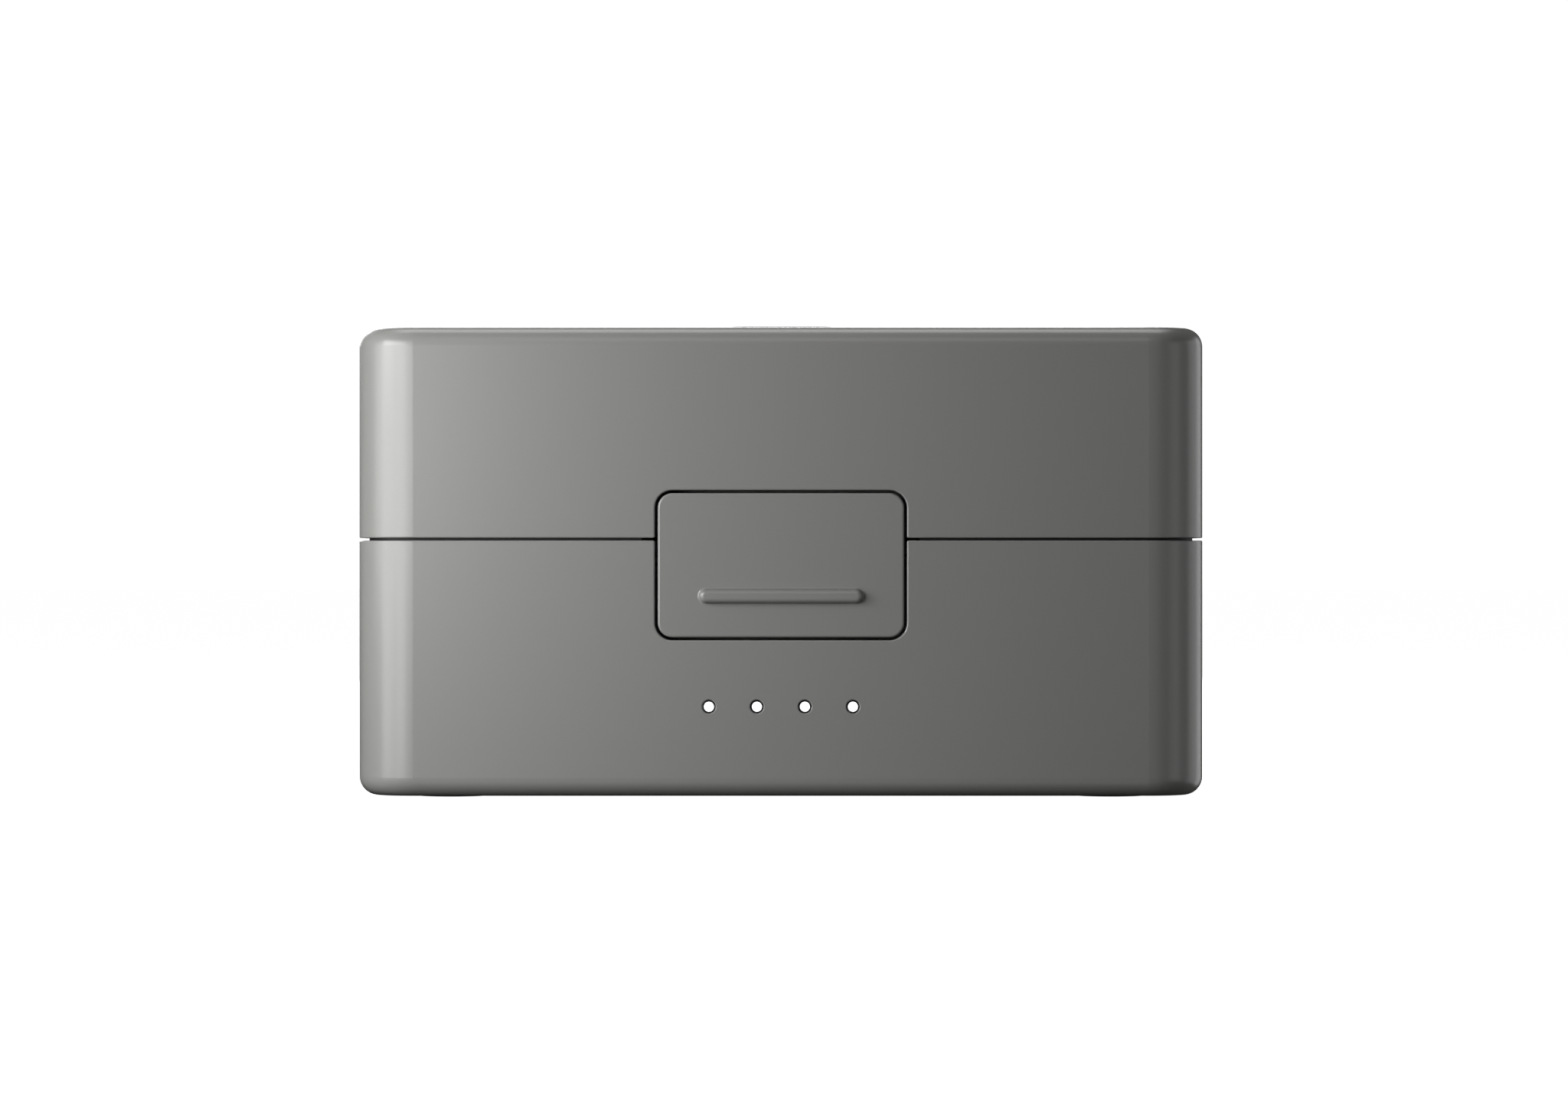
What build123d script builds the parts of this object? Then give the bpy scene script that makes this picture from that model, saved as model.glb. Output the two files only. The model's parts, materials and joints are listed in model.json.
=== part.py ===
"""Portable battery charging case, in millimetres.

A lidded case that stands on four rubber feet. The lid turns on a barrel hinge along the rear edge and is held by a
rocker latch in the middle of the front. Three bays under the lid take removable batteries, which press on sprung
contact pins. A flat lithium cell and the charging circuit lie under the bays, and four light pipes in the front show
the charge.

+X is to the right, +Y to the rear, +Z up. The origin is on the table, under the middle of the case.
"""

import math
import os

from build123d import *

# Outer case
CASE_WIDTH = 110.0
CASE_DEPTH = 40.0
CASE_HEIGHT = 60.8  # without the feet
SPLIT_HEIGHT = 33.3  # from the underside to the middle of the parting gap
PARTING_GAP = 0.34
CORNER_RADIUS = 7.4
EDGE_RADIUS = 2.4
RIM_RADIUS = 0.15
INNER_EDGE_RADIUS = 0.8
WALL = 1.8

# Rubber feet, each glued over a case screw
FOOT_DIAMETER = 9.2
FOOT_STANDOFF = 0.3
FOOT_SEAT_DEPTH = 0.6
FOOT_SIDE_INSET = 11.9  # from the case's side to the foot's centre
FOOT_END_INSET = 12.0  # from the front or rear to the foot's centre
FOOT_EDGE_RADIUS = 0.2

# Latch: a rocker let into the front, over the parting gap
LATCH_WIDTH = 31.88
LATCH_HEIGHT = 18.68
LATCH_RISE = 5.965  # from the middle of the parting gap to the latch's upper edge
LATCH_THICKNESS = 1.8
LATCH_CORNER = 1.9
LATCH_EDGE = 0.3
LATCH_GAP = 0.37
RECESS_EDGE = 0.22
LATCH_TRAVEL_ROOM = 3.6  # from the back of the latch to the back of its housing
HOUSING_WALL = 1.4
RIB_LENGTH = 21.1
RIB_WIDTH = 1.75
RIB_HEIGHT = 1.0
RIB_RISE = 5.355  # from the latch's lower edge to the middle of the rib
RIB_CORNER = 0.85
RIB_EDGE = 0.6
RIB_ROOT = 0.28
LATCH_PIN_DIAMETER = 1.5
LATCH_PIN_DROP = 2.7  # below the parting gap
LATCH_PIN_SETBACK = 2.8  # behind the front face
LATCH_EAR = (11.5, 14.0)  # nearest and furthest distance from the middle
LATCH_EAR_RADIUS = 1.6
HOOK_WIDTH = 10.0
HOOK_ARM = (3.3, 4.7)  # height above the parting gap
HOOK_NOSE_DROP = 0.7
HOOK_NOSE_DEPTH = 0.9
HOOK_REACH = 2.25  # behind the latch
LATCH_SPRING_X = 7.0
LATCH_SPRING_DROP = 7.0  # below the latch pin
LATCH_SPRING_RADIUS = 1.35
LATCH_SPRING_WIRE = 0.35
LATCH_SPRING_TURNS = 4
SPRING_STUB_DIAMETER = 1.8
SPRING_STUB_LENGTH = 1.0

# Keeper plate, which the hook holds down
KEEPER_WIDTH = 21.0
KEEPER_THICKNESS = 0.6
KEEPER_LIP = 0.5
KEEPER_LIP_HEIGHT = 0.6
KEEPER_LIP_RISE = 1.8  # from the parting gap to the underside of the lip
KEEPER_HEIGHT = 4.2
KEEPER_SCREW_X = 8.4
KEEPER_SCREW_RISE = 4.3

# Rear hinge
HINGE_INSET = 1.4  # from the rear face to the hinge axis
KNUCKLE_RADIUS = 2.2
KNUCKLE_CLEARANCE = 0.25
HINGE_PIN_DIAMETER = 1.6
HINGE_LENGTH = 60.0
KNUCKLE_GAP = 0.2
LID_KNUCKLES = (10.0, 20.0)  # nearest and furthest distance from the middle
PIN_END_SETBACK = 0.5
HINGE_RELIEF_ANGLE = 52.0  # of each half's rear chamfer, a little over half the lid's travel
GUSSET_DEPTH = 5.0

# Battery bays
BATTERY_WIDTH = 30.0
BATTERY_THICKNESS = 18.0
BATTERY_HEIGHT = 40.0
BATTERY_CLEARANCE = 0.25
BAY_COUNT = 3
BAY_SPACING = 2.5  # of solid between one bay and the next
BAY_MIDDLE_Y = 0.55
BAY_WALL = 1.0
BAY_FLOOR_TOP = 14.9  # above the underside of the case
BAY_FLOOR = 1.2
BAY_LEAD_IN = 0.8
TRAY_DECK = 1.2
TRAY_DECK_DROP = 0.35  # from the base's rim to the deck
TRAY_CLEARANCE = 0.2
LIP_INSET = 1.3  # from the outside of the case to the lip, which rests on the base's rim
LIP_CLEARANCE = 0.3
LIP_THICKNESS = 1.7
LIP_RISE = 1.5  # above the parting gap

# Circuit board and what is on it
BOARD_HALF_WIDTH = 39.0
BOARD_THICKNESS = 1.2
BOARD_REAR_SETBACK = 3.0
BOARD_SCREW_Y = (-6.0, 7.0)
BOARD_BOSS_DIAMETER = 4.0
LIGHT_HEIGHT = 11.62  # above the underside of the case
LIGHT_PITCH = 6.21
LIGHT_COUNT = 4
LIGHT_PIPE_DIAMETER = 1.3
LIGHT_HOLE_DIAMETER = 1.75
LIGHT_RECESS = 0.1
LIGHT_HOLE_EDGE = 0.12
LIGHT_BAR = (22.0, 1.2, 2.4)
LED_SIZE = (1.6, 1.2, 1.6)
USB_WIDTH = 8.94
USB_HEIGHT = 3.26
USB_LENGTH = 7.3
USB_SETBACK = 0.8  # from the rear face to the socket's mouth
USB_SHELL = 0.3
USB_OPENING_CLEARANCE = 0.2
USB_TONGUE = (6.7, 0.7, 4.6)

# Sprung contacts
CONTACT_COUNT = 4
CONTACT_PITCH = 3.0
CONTACT_Y = -4.0
CONTACT_BLOCK = (14.0, 5.0)
BARREL_DIAMETER = 1.6
BARREL_BORE = 1.15
BARREL_MOUTH = 0.9
BARREL_FLOOR = 0.4
BARREL_LIP = 0.25
PIN_TIP_DIAMETER = 0.8
PIN_TAIL_DIAMETER = 1.05
PIN_TAIL_LENGTH = 1.2
PIN_PROUD = 1.2  # above the bay floor
CONTACT_SPRING_WIRE = 0.16
CONTACT_SPRING_TURNS = 5

# Lithium cell under the board
CELL_SIZE = (72.0, 30.0, 6.0)
CELL_EDGE = 1.6
TAPE_THICKNESS = 0.25
TAPE_MARGIN = 6.0
PROTECTION_BOARD = (1.0, 12.0, 3.6)
LEAD_DIAMETER = 0.9
LEAD_SPACING = 1.5
LEAD_BEND = 1.2
LEAD_Y = 4.0
LEAD_EDGE_GAP = 0.65  # from the board's edge to the lead's surface
PLUG_SIZE = (4.4, 4.0, 1.4)
SOCKET_SIZE = (4.0, 5.6, 2.2)
PLUG_IN_SOCKET = 2.0

# Screws: shank diameter, head diameter, head height, shank length
CASE_SCREW = (1.6, 3.2, 1.0, 6.0)
BOARD_SCREW = (1.4, 2.8, 0.85, 3.6)
LINER_SCREW = (1.6, 3.2, 0.9, 3.4)
KEEPER_SCREW = (1.2, 2.0, 0.5, 1.6)
SCREW_CLEARANCE = 0.1
CASE_BOSS_DIAMETER = 6.0
CASE_BOSS_HEIGHT = 1.9
POST_DIAMETER = 5.0

# Lid lining
LINER_WALL = 1.0
LINER_CEILING = 1.2
LINER_LOW = 2.1  # above the parting gap
LINER_ROOM = 1.7  # from the lid's ceiling to the liner
LINER_SCREW_INSET = (9.0, 8.0)
LINER_BOSS_DIAMETER = 5.0
PAD_SIZE = (24.0, 12.0)
PAD_GAP = 0.1  # from a battery's top to its pad
PAD_CORNER = 2.0
PAD_EDGE = 0.4

# Blank badge on the lid
BADGE_SIZE = (13.6, 14.0)
BADGE_CORNER = 2.0
BADGE_RISE = 0.5
BADGE_SEAT = 0.3
BADGE_EDGE = 0.2
BADGE_CLEARANCE = 0.05

# Heights and planes that follow from the sizes above
UNDERSIDE = FOOT_STANDOFF
SPLIT = UNDERSIDE + SPLIT_HEIGHT
BASE_RIM = SPLIT - PARTING_GAP / 2
LID_RIM = SPLIT + PARTING_GAP / 2
TOP = UNDERSIDE + CASE_HEIGHT
FLOOR = UNDERSIDE + WALL
CEILING = TOP - WALL
FRONT = -CASE_DEPTH / 2
REAR = CASE_DEPTH / 2
INNER_FRONT = FRONT + WALL
INNER_REAR = REAR - WALL
HINGE_Y = REAR - HINGE_INSET
LATCH_MIDDLE = SPLIT + LATCH_RISE - LATCH_HEIGHT / 2
LATCH_BACK = FRONT + LATCH_THICKNESS
HOUSING_BACK = LATCH_BACK + LATCH_TRAVEL_ROOM
RECESS_WIDTH = LATCH_WIDTH + 2 * LATCH_GAP
RECESS_HEIGHT = LATCH_HEIGHT + 2 * LATCH_GAP
RECESS_LOW = LATCH_MIDDLE - RECESS_HEIGHT / 2
RECESS_HIGH = LATCH_MIDDLE + RECESS_HEIGHT / 2
HOUSING_HALF = RECESS_WIDTH / 2 + HOUSING_WALL
LATCH_PIN_Y = FRONT + LATCH_PIN_SETBACK
LATCH_PIN_Z = SPLIT - LATCH_PIN_DROP
LATCH_SPRING_Z = LATCH_PIN_Z - LATCH_SPRING_DROP
DECK_TOP = BASE_RIM - TRAY_DECK_DROP
DECK_LOW = DECK_TOP - TRAY_DECK
LIP_TOP = SPLIT + LIP_RISE
BAY_WIDTH = BATTERY_WIDTH + 2 * BATTERY_CLEARANCE
BAY_DEPTH = BATTERY_THICKNESS + 2 * BATTERY_CLEARANCE
BAY_FRONT = BAY_MIDDLE_Y - BAY_DEPTH / 2
BAY_REAR = BAY_MIDDLE_Y + BAY_DEPTH / 2
BAY_TOP_OF_FLOOR = UNDERSIDE + BAY_FLOOR_TOP
BAY_UNDER_FLOOR = BAY_TOP_OF_FLOOR - BAY_FLOOR
BAY_PITCH = BAY_WIDTH + BAY_SPACING
BOARD_SCREW_X = BAY_PITCH / 2
BAY_XS = [(i - (BAY_COUNT - 1) / 2) * BAY_PITCH for i in range(BAY_COUNT)]
BAY_NAMES = ["left", "middle", "right"]
LIGHT_Z = UNDERSIDE + LIGHT_HEIGHT
LIGHT_XS = [(i - (LIGHT_COUNT - 1) / 2) * LIGHT_PITCH for i in range(LIGHT_COUNT)]
BOARD_TOP = LIGHT_Z - LED_SIZE[2] / 2
BOARD_LOW = BOARD_TOP - BOARD_THICKNESS
BOARD_FRONT = INNER_FRONT + LIGHT_BAR[1] + SCREW_CLEARANCE
BOARD_REAR = REAR - BOARD_REAR_SETBACK
USB_Z = BOARD_TOP + USB_HEIGHT / 2
USB_MOUTH = REAR - USB_SETBACK
CELL_LOW = FLOOR + TAPE_THICKNESS
BOSS_TOP = FLOOR + CASE_BOSS_HEIGHT
SCREW_SEAT = UNDERSIDE + FOOT_SEAT_DEPTH + CASE_SCREW[2] + SCREW_CLEARANCE
FOOT_X = CASE_WIDTH / 2 - FOOT_SIDE_INSET
FOOT_Y = CASE_DEPTH / 2 - FOOT_END_INSET
LINER_TOP = CEILING - LINER_ROOM
LINER_UNDER = LINER_TOP - LINER_CEILING
LINER_BOTTOM = SPLIT + LINER_LOW
LINER_INSET = WALL + TRAY_CLEARANCE
LINER_SCREW_X = CASE_WIDTH / 2 - LINER_SCREW_INSET[0]
LINER_SCREW_Y = CASE_DEPTH / 2 - LINER_SCREW_INSET[1]
BATTERY_TOP = BAY_TOP_OF_FLOOR + BATTERY_HEIGHT
PAST = 5.0  # how far a cutter runs past what it cuts


# Shapes


def block(x, y, z):
    """A box between two positions on each axis."""
    size = [high - low for low, high in (x, y, z)]
    middle = [(low + high) / 2 for low, high in (x, y, z)]
    return Pos(*middle) * Box(*size)


def rod(axis, span, centre, diameter):
    """A cylinder along X, Y or Z between two positions, centred on the other two axes."""
    turns = {"X": Rot(0, 90, 0), "Y": Rot(90, 0, 0), "Z": Rot(0, 0, 0)}
    middle = (span[0] + span[1]) / 2
    places = {
        "X": (middle, *centre),
        "Y": (centre[0], middle, centre[1]),
        "Z": (*centre, middle),
    }
    return Pos(*places[axis]) * turns[axis] * Cylinder(diameter / 2, span[1] - span[0])


def joined(shapes):
    """Several shapes fused, or a group where they don't touch."""
    shapes = list(shapes)
    whole = shapes[0]
    for shape in shapes[1:]:
        whole += shape
    return whole


def group(solids):
    """Separate solids kept in one node."""
    return Compound(children=[piece for solid in solids for piece in solid.solids()])


def front_plane(y, z):
    """A plane that faces forwards, with its own axes along X and Z."""
    return Plane(origin=(0, y, z), x_dir=(1, 0, 0), z_dir=(0, -1, 0))


def side_prism(points, x):
    """A prism along X from an outline of (y, z) points."""
    plane = Plane(origin=(x[0], 0, 0), x_dir=(0, 1, 0), z_dir=(1, 0, 0))
    return extrude(plane * make_face(Polyline(*points, close=True)), x[1] - x[0])


def case_prism(inset, z):
    """The case's outline, moved in by inset, between two heights."""
    corner = max(CORNER_RADIUS - inset, INNER_EDGE_RADIUS)
    outline = RectangleRounded(CASE_WIDTH - 2 * inset, CASE_DEPTH - 2 * inset, corner)
    return extrude(Pos(0, 0, z[0]) * outline, z[1] - z[0])


def end_edges(body, axis, end):
    """The edges at the low (0) or high (-1) end of a body along an axis."""
    return body.edges().group_by(axis)[end]


def both_sides(span):
    """A pair of X spans, mirrored about the middle."""
    return [span, (-span[1], -span[0])]


def screw(size, slot=True):
    """A screw that points up: its head's bearing face is at the origin, with a cross recess in the head."""
    shank, head, head_height, length = size
    body = rod("Z", (-head_height, 0), (0, 0), head) + rod("Z", (0, length), (0, 0), shank)
    if slot:
        deep, wide = head_height * 0.6, head * 0.16
        for across in ((head * 0.3, wide / 2), (wide / 2, head * 0.3)):
            body -= block(
                (-across[0], across[0]),
                (-across[1], across[1]),
                (-head_height, deep - head_height),
            )
    return body


def coil(radius, wire, length, turns):
    """A compression spring that stands on the origin, along Z."""
    height = length - wire
    path = Helix(pitch=height / turns, height=height, radius=radius)
    start = Plane(origin=path @ 0, z_dir=path % 0)
    return Pos(0, 0, wire / 2) * sweep(start * Circle(wire / 2), path=path, is_frenet=True)


def foot_places():
    """Each foot's name and centre."""
    return {
        "front_left": (-FOOT_X, -FOOT_Y),
        "front_right": (FOOT_X, -FOOT_Y),
        "rear_left": (-FOOT_X, FOOT_Y),
        "rear_right": (FOOT_X, FOOT_Y),
    }


def board_screw_places():
    return [(x, y) for x in (-BOARD_SCREW_X, BOARD_SCREW_X) for y in BOARD_SCREW_Y]


def liner_screw_places():
    return [
        (x, y) for x in (-LINER_SCREW_X, LINER_SCREW_X) for y in (-LINER_SCREW_Y, LINER_SCREW_Y)
    ]


def contact_xs(bay_x):
    return [bay_x + (i - (CONTACT_COUNT - 1) / 2) * CONTACT_PITCH for i in range(CONTACT_COUNT)]


# Latch recess and hinge, which the base and the lid share


def latch_recess():
    """The room that the latch fills and rocks in, through the front wall and back into the housing."""
    outline = RectangleRounded(RECESS_WIDTH, RECESS_HEIGHT, LATCH_CORNER + LATCH_GAP)
    length = HOUSING_BACK - FRONT + PAST
    return extrude(front_plane(HOUSING_BACK, LATCH_MIDDLE) * outline, length)


def round_recess_mouth(body):
    """Rounds the edge where the recess meets the case's front face."""
    half = RECESS_WIDTH / 2 + 0.01
    mouth = [
        edge
        for edge in body.edges()
        if abs(edge.center().X) < half
        and RECESS_LOW - 0.01 < edge.center().Z < RECESS_HIGH + 0.01
        and edge.bounding_box().max.Y < FRONT + 0.001
    ]
    return fillet(mouth, RECESS_EDGE)


def lip_ring(inset, depth, z, gap):
    """A ring round the case between two heights, left out by a gap at the latch housing and at the hinge."""
    ring = case_prism(inset, z) - case_prism(inset + depth, (z[0] - PAST, z[1] + PAST))
    housing = HOUSING_HALF + gap
    ring -= block((-housing, housing), (FRONT - PAST, 0), (z[0] - PAST, z[1] + PAST))
    hinge = HINGE_LENGTH / 2 + gap
    return ring - block((-hinge, hinge), (0, REAR + PAST), (z[0] - PAST, z[1] + PAST))


def latch_housing(z):
    """The block behind the front wall that the recess is cut into, between two heights."""
    x = (-HOUSING_HALF, HOUSING_HALF)
    return block(x, (INNER_FRONT, HOUSING_BACK + HOUSING_WALL), z)


def knuckle_spans(owner):
    """The X spans of the hinge knuckles that belong to the base or to the lid."""
    near, far = LID_KNUCKLES
    half_gap = KNUCKLE_GAP / 2
    if owner == "lid":
        return both_sides((near + half_gap, far - half_gap))
    middle = (half_gap - near, near - half_gap)
    return [middle, *both_sides((far + half_gap, HINGE_LENGTH / 2))]


def hinge_chamfer(direction):
    """The wedge cut behind the hinge axis so that the lid can swing back: direction is 1 for the lid, -1 for the base."""
    rise = math.tan(math.radians(HINGE_RELIEF_ANGLE)) * PAST * direction
    axis = (HINGE_Y, SPLIT)
    points = [axis, (HINGE_Y + PAST, SPLIT + rise)]
    points += [(HINGE_Y + PAST, SPLIT - PAST * direction), (HINGE_Y, SPLIT - PAST * direction)]
    return side_prism(points, (-CASE_WIDTH, CASE_WIDTH))


def add_hinge(body, owner):
    """Cuts the rear chamfer, clears the other half's knuckles, and adds this half's own, with their gussets and bores."""
    direction, rim = (1, LID_RIM) if owner == "lid" else (-1, BASE_RIM)
    other = "base" if owner == "lid" else "lid"
    body -= hinge_chamfer(direction)
    for span in knuckle_spans(other):
        wide = (span[0] - KNUCKLE_GAP, span[1] + KNUCKLE_GAP)
        clear = 2 * (KNUCKLE_RADIUS + KNUCKLE_CLEARANCE)
        body -= rod("X", wide, (HINGE_Y, SPLIT), clear)
    front = HINGE_Y - KNUCKLE_RADIUS
    outline = [
        (front, rim),
        (front, SPLIT + direction * GUSSET_DEPTH / 2),
        (INNER_REAR, SPLIT + direction * GUSSET_DEPTH),
        (HINGE_Y, SPLIT + direction * GUSSET_DEPTH),
        (HINGE_Y, rim),
    ]
    for span in knuckle_spans(owner):
        body += side_prism(outline, span)
        body += rod("X", span, (HINGE_Y, SPLIT), 2 * KNUCKLE_RADIUS)
    running = HINGE_PIN_DIAMETER + (SCREW_CLEARANCE if owner == "lid" else 0)
    return body - rod("X", (-HINGE_LENGTH, HINGE_LENGTH), (HINGE_Y, SPLIT), running)


# Base


def base_shell():
    body = case_prism(0, (UNDERSIDE, BASE_RIM))
    body = fillet(end_edges(body, Axis.Z, 0), EDGE_RADIUS)
    body = fillet(end_edges(body, Axis.Z, -1), RIM_RADIUS)
    cavity = case_prism(WALL, (FLOOR, BASE_RIM + PAST))
    body -= fillet(end_edges(cavity, Axis.Z, 0), INNER_EDGE_RADIUS)
    body += latch_housing((RECESS_LOW - HOUSING_WALL, BASE_RIM))
    body = round_recess_mouth(body - latch_recess())
    pin = (-HOUSING_HALF - PAST, HOUSING_HALF + PAST)
    body -= rod("X", pin, (LATCH_PIN_Y, LATCH_PIN_Z), LATCH_PIN_DIAMETER)
    body = add_hinge(body, "base")
    for place in foot_places().values():
        body += rod("Z", (FLOOR - WALL / 2, BOSS_TOP), place, CASE_BOSS_DIAMETER)
        seat = (UNDERSIDE - PAST, UNDERSIDE + FOOT_SEAT_DEPTH)
        body -= rod("Z", seat, place, FOOT_DIAMETER + SCREW_CLEARANCE)
        body -= rod("Z", (UNDERSIDE, SCREW_SEAT), place, CASE_SCREW[1] + 2 * SCREW_CLEARANCE)
        body -= rod("Z", (UNDERSIDE, BOSS_TOP + PAST), place, CASE_SCREW[0] + 2 * SCREW_CLEARANCE)
    for x in LIGHT_XS:
        body -= rod("Y", (FRONT - PAST, INNER_FRONT + PAST), (x, LIGHT_Z), LIGHT_HOLE_DIAMETER)
        flare = Cone(LIGHT_HOLE_DIAMETER / 2, LIGHT_HOLE_DIAMETER / 2 + LIGHT_HOLE_EDGE, LIGHT_HOLE_EDGE)
        body -= Pos(x, FRONT + LIGHT_HOLE_EDGE / 2, LIGHT_Z) * Rot(90, 0, 0) * flare
    return body - usb_envelope(USB_OPENING_CLEARANCE, (INNER_REAR - PAST / 2, REAR + PAST))


def usb_envelope(grow, y):
    """The socket's rounded outline, grown all round, between two Y positions."""
    high = USB_HEIGHT + 2 * grow
    outline = RectangleRounded(USB_WIDTH + 2 * grow, high, high / 2 - 0.01)
    return extrude(front_plane(y[1], USB_Z) * outline, y[1] - y[0])


def foot(place):
    disc = rod("Z", (0, UNDERSIDE + FOOT_SEAT_DEPTH), place, FOOT_DIAMETER)
    return fillet(end_edges(disc, Axis.Z, 0), FOOT_EDGE_RADIUS)


def base_screws():
    return group(Pos(*place, SCREW_SEAT) * screw(CASE_SCREW) for place in foot_places().values())


def bay_room(x, z, grow=0.0):
    """A bay's plan, grown all round, between two heights."""
    return block(
        (x - BAY_WIDTH / 2 - grow, x + BAY_WIDTH / 2 + grow),
        (BAY_FRONT - grow, BAY_REAR + grow),
        z,
    )


def base_tray():
    """The inner moulding: a deck with a locating lip, three bays, screw posts and bosses for the circuit board."""
    body = case_prism(WALL + TRAY_CLEARANCE, (DECK_LOW, DECK_TOP))
    inside = LIP_INSET + LIP_THICKNESS
    rim = WALL + TRAY_CLEARANCE
    body += lip_ring(rim, inside - rim, (DECK_LOW, BASE_RIM), LIP_CLEARANCE)
    body += lip_ring(LIP_INSET, LIP_THICKNESS, (BASE_RIM, LIP_TOP), LIP_CLEARANCE)
    for x in BAY_XS:
        body += bay_room(x, (BAY_UNDER_FLOOR, DECK_TOP), BAY_WALL)
    for place in foot_places().values():
        body += rod("Z", (BOSS_TOP, DECK_LOW), place, POST_DIAMETER)
    for place in board_screw_places():
        body += rod("Z", (BOARD_TOP, BAY_UNDER_FLOOR), place, BOARD_BOSS_DIAMETER)
    for x in BAY_XS:
        room = bay_room(x, (BAY_TOP_OF_FLOOR, DECK_TOP + PAST))
        body -= room
        mouth = make_face(Rectangle(BAY_WIDTH, BAY_DEPTH).wires()[0])
        at = Pos(x, BAY_MIDDLE_Y, DECK_TOP - BAY_LEAD_IN)
        body -= extrude(at * mouth, BAY_LEAD_IN, taper=-30)
        window = tuple(side / 2 + TRAY_CLEARANCE for side in CONTACT_BLOCK)
        body -= block(
            (x - window[0], x + window[0]),
            (CONTACT_Y - window[1], CONTACT_Y + window[1]),
            (BAY_UNDER_FLOOR - PAST / 5, BAY_TOP_OF_FLOOR + PAST / 5),
        )
    housing = HOUSING_HALF + TRAY_CLEARANCE
    behind = HOUSING_BACK + HOUSING_WALL + TRAY_CLEARANCE
    body -= block((-housing, housing), (FRONT, behind), (BAY_UNDER_FLOOR, LIP_TOP + PAST))
    hinge = HINGE_LENGTH / 2 + LIP_CLEARANCE
    before = HINGE_Y - KNUCKLE_RADIUS - KNUCKLE_CLEARANCE
    body -= block((-hinge, hinge), (before, REAR), (BAY_UNDER_FLOOR, LIP_TOP + PAST))
    body -= usb_envelope(TRAY_CLEARANCE, (USB_MOUTH - USB_LENGTH - TRAY_CLEARANCE, REAR))
    for place in foot_places().values():
        body -= rod("Z", (BOSS_TOP - PAST, SCREW_SEAT + CASE_SCREW[3] + 0.5), place, CASE_SCREW[0])
    for place in board_screw_places():
        deep = BOARD_LOW + BOARD_SCREW[3] + SCREW_CLEARANCE
        body -= rod("Z", (BOARD_LOW, deep), place, BOARD_SCREW[0])
    return body


# Circuit board and electronics


def main_circuit_board():
    x = (-BOARD_HALF_WIDTH, BOARD_HALF_WIDTH)
    board = block(x, (BOARD_FRONT, BOARD_REAR), (BOARD_LOW, BOARD_TOP))
    for place in board_screw_places():
        board -= rod("Z", (BOARD_LOW, BOARD_TOP), place, BOARD_SCREW[0] + 2 * SCREW_CLEARANCE)
    return board


def board_screws():
    return group(Pos(*place, BOARD_LOW) * screw(BOARD_SCREW) for place in board_screw_places())


def on_board(place, size):
    """A component's body, standing on the circuit board."""
    x, y = place
    return block(
        (x - size[0] / 2, x + size[0] / 2),
        (y - size[1] / 2, y + size[1] / 2),
        (BOARD_TOP, BOARD_TOP + size[2]),
    )


def chip(place, side, height):
    body = on_board(place, (side, side, height))
    return fillet(end_edges(body, Axis.Z, -1), 0.1)


def power_inductors():
    parts = []
    for x in (-BOARD_SCREW_X, BOARD_SCREW_X):
        body = on_board((x, sum(BOARD_SCREW_Y) / 2), (5.0, 5.0, 2.2))
        parts.append(fillet(body.edges().filter_by(Axis.Z), 0.8))
    return group(parts)


def capacitors():
    places = [(BAY_XS[0] + dx, 4.5) for dx in (-3.0, 0.0, 3.0)]
    places += [(-4.6, 5.0), (4.6, 5.0), (0.0, 10.0)]
    places += [(BAY_XS[2] - dx, 9.5) for dx in (0.0, 3.0, 6.0)]
    return group(on_board(place, (1.25, 2.0, 1.2)) for place in places)


def status_leds():
    setback = INNER_FRONT + LIGHT_BAR[1] + SCREW_CLEARANCE + LED_SIZE[1] / 2
    return group(on_board((x, setback), LED_SIZE) for x in LIGHT_XS)


def light_pipe_strip():
    """Four clear pins on one bar that is glued behind the front wall."""
    half_bar, thick, high = LIGHT_BAR[0] / 2, LIGHT_BAR[1], LIGHT_BAR[2]
    z = (LIGHT_Z - high / 2, LIGHT_Z + high / 2)
    body = block((-half_bar, half_bar), (INNER_FRONT, INNER_FRONT + thick), z)
    for x in LIGHT_XS:
        body += rod("Y", (FRONT + LIGHT_RECESS, INNER_FRONT), (x, LIGHT_Z), LIGHT_PIPE_DIAMETER)
    return body


def usb_shell():
    y = (USB_MOUTH - USB_LENGTH, USB_MOUTH)
    hollow = usb_envelope(-USB_SHELL, (y[0] + USB_SHELL, y[1] + PAST))
    return usb_envelope(0, y) - hollow


def usb_tongue():
    wide, thick, length = USB_TONGUE
    back = USB_MOUTH - USB_LENGTH + USB_SHELL
    plate = block((-wide / 2, wide / 2), (back, back + length), (USB_Z - thick / 2, USB_Z + thick / 2))
    return plate + usb_envelope(-USB_SHELL, (back, back + 1.0))


def contact_block(bay_x):
    wide, deep = CONTACT_BLOCK
    height = BAY_TOP_OF_FLOOR - BOARD_TOP
    body = on_board((bay_x, CONTACT_Y), (wide, deep, height))
    body = fillet(body.edges().filter_by(Axis.Z), 0.5)
    for x in contact_xs(bay_x):
        body -= rod("Z", (BOARD_TOP, BAY_TOP_OF_FLOOR), (x, CONTACT_Y), BARREL_DIAMETER)
    return body


def contact_barrels(bay_x):
    barrels = []
    lip = BAY_TOP_OF_FLOOR - BARREL_LIP
    for x in contact_xs(bay_x):
        at = (x, CONTACT_Y)
        tube = rod("Z", (BOARD_TOP, BAY_TOP_OF_FLOOR), at, BARREL_DIAMETER)
        tube -= rod("Z", (BOARD_TOP + BARREL_FLOOR, lip), at, BARREL_BORE)
        barrels.append(tube - rod("Z", (lip, BAY_TOP_OF_FLOOR + PAST), at, BARREL_MOUTH))
    return group(barrels)


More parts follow.
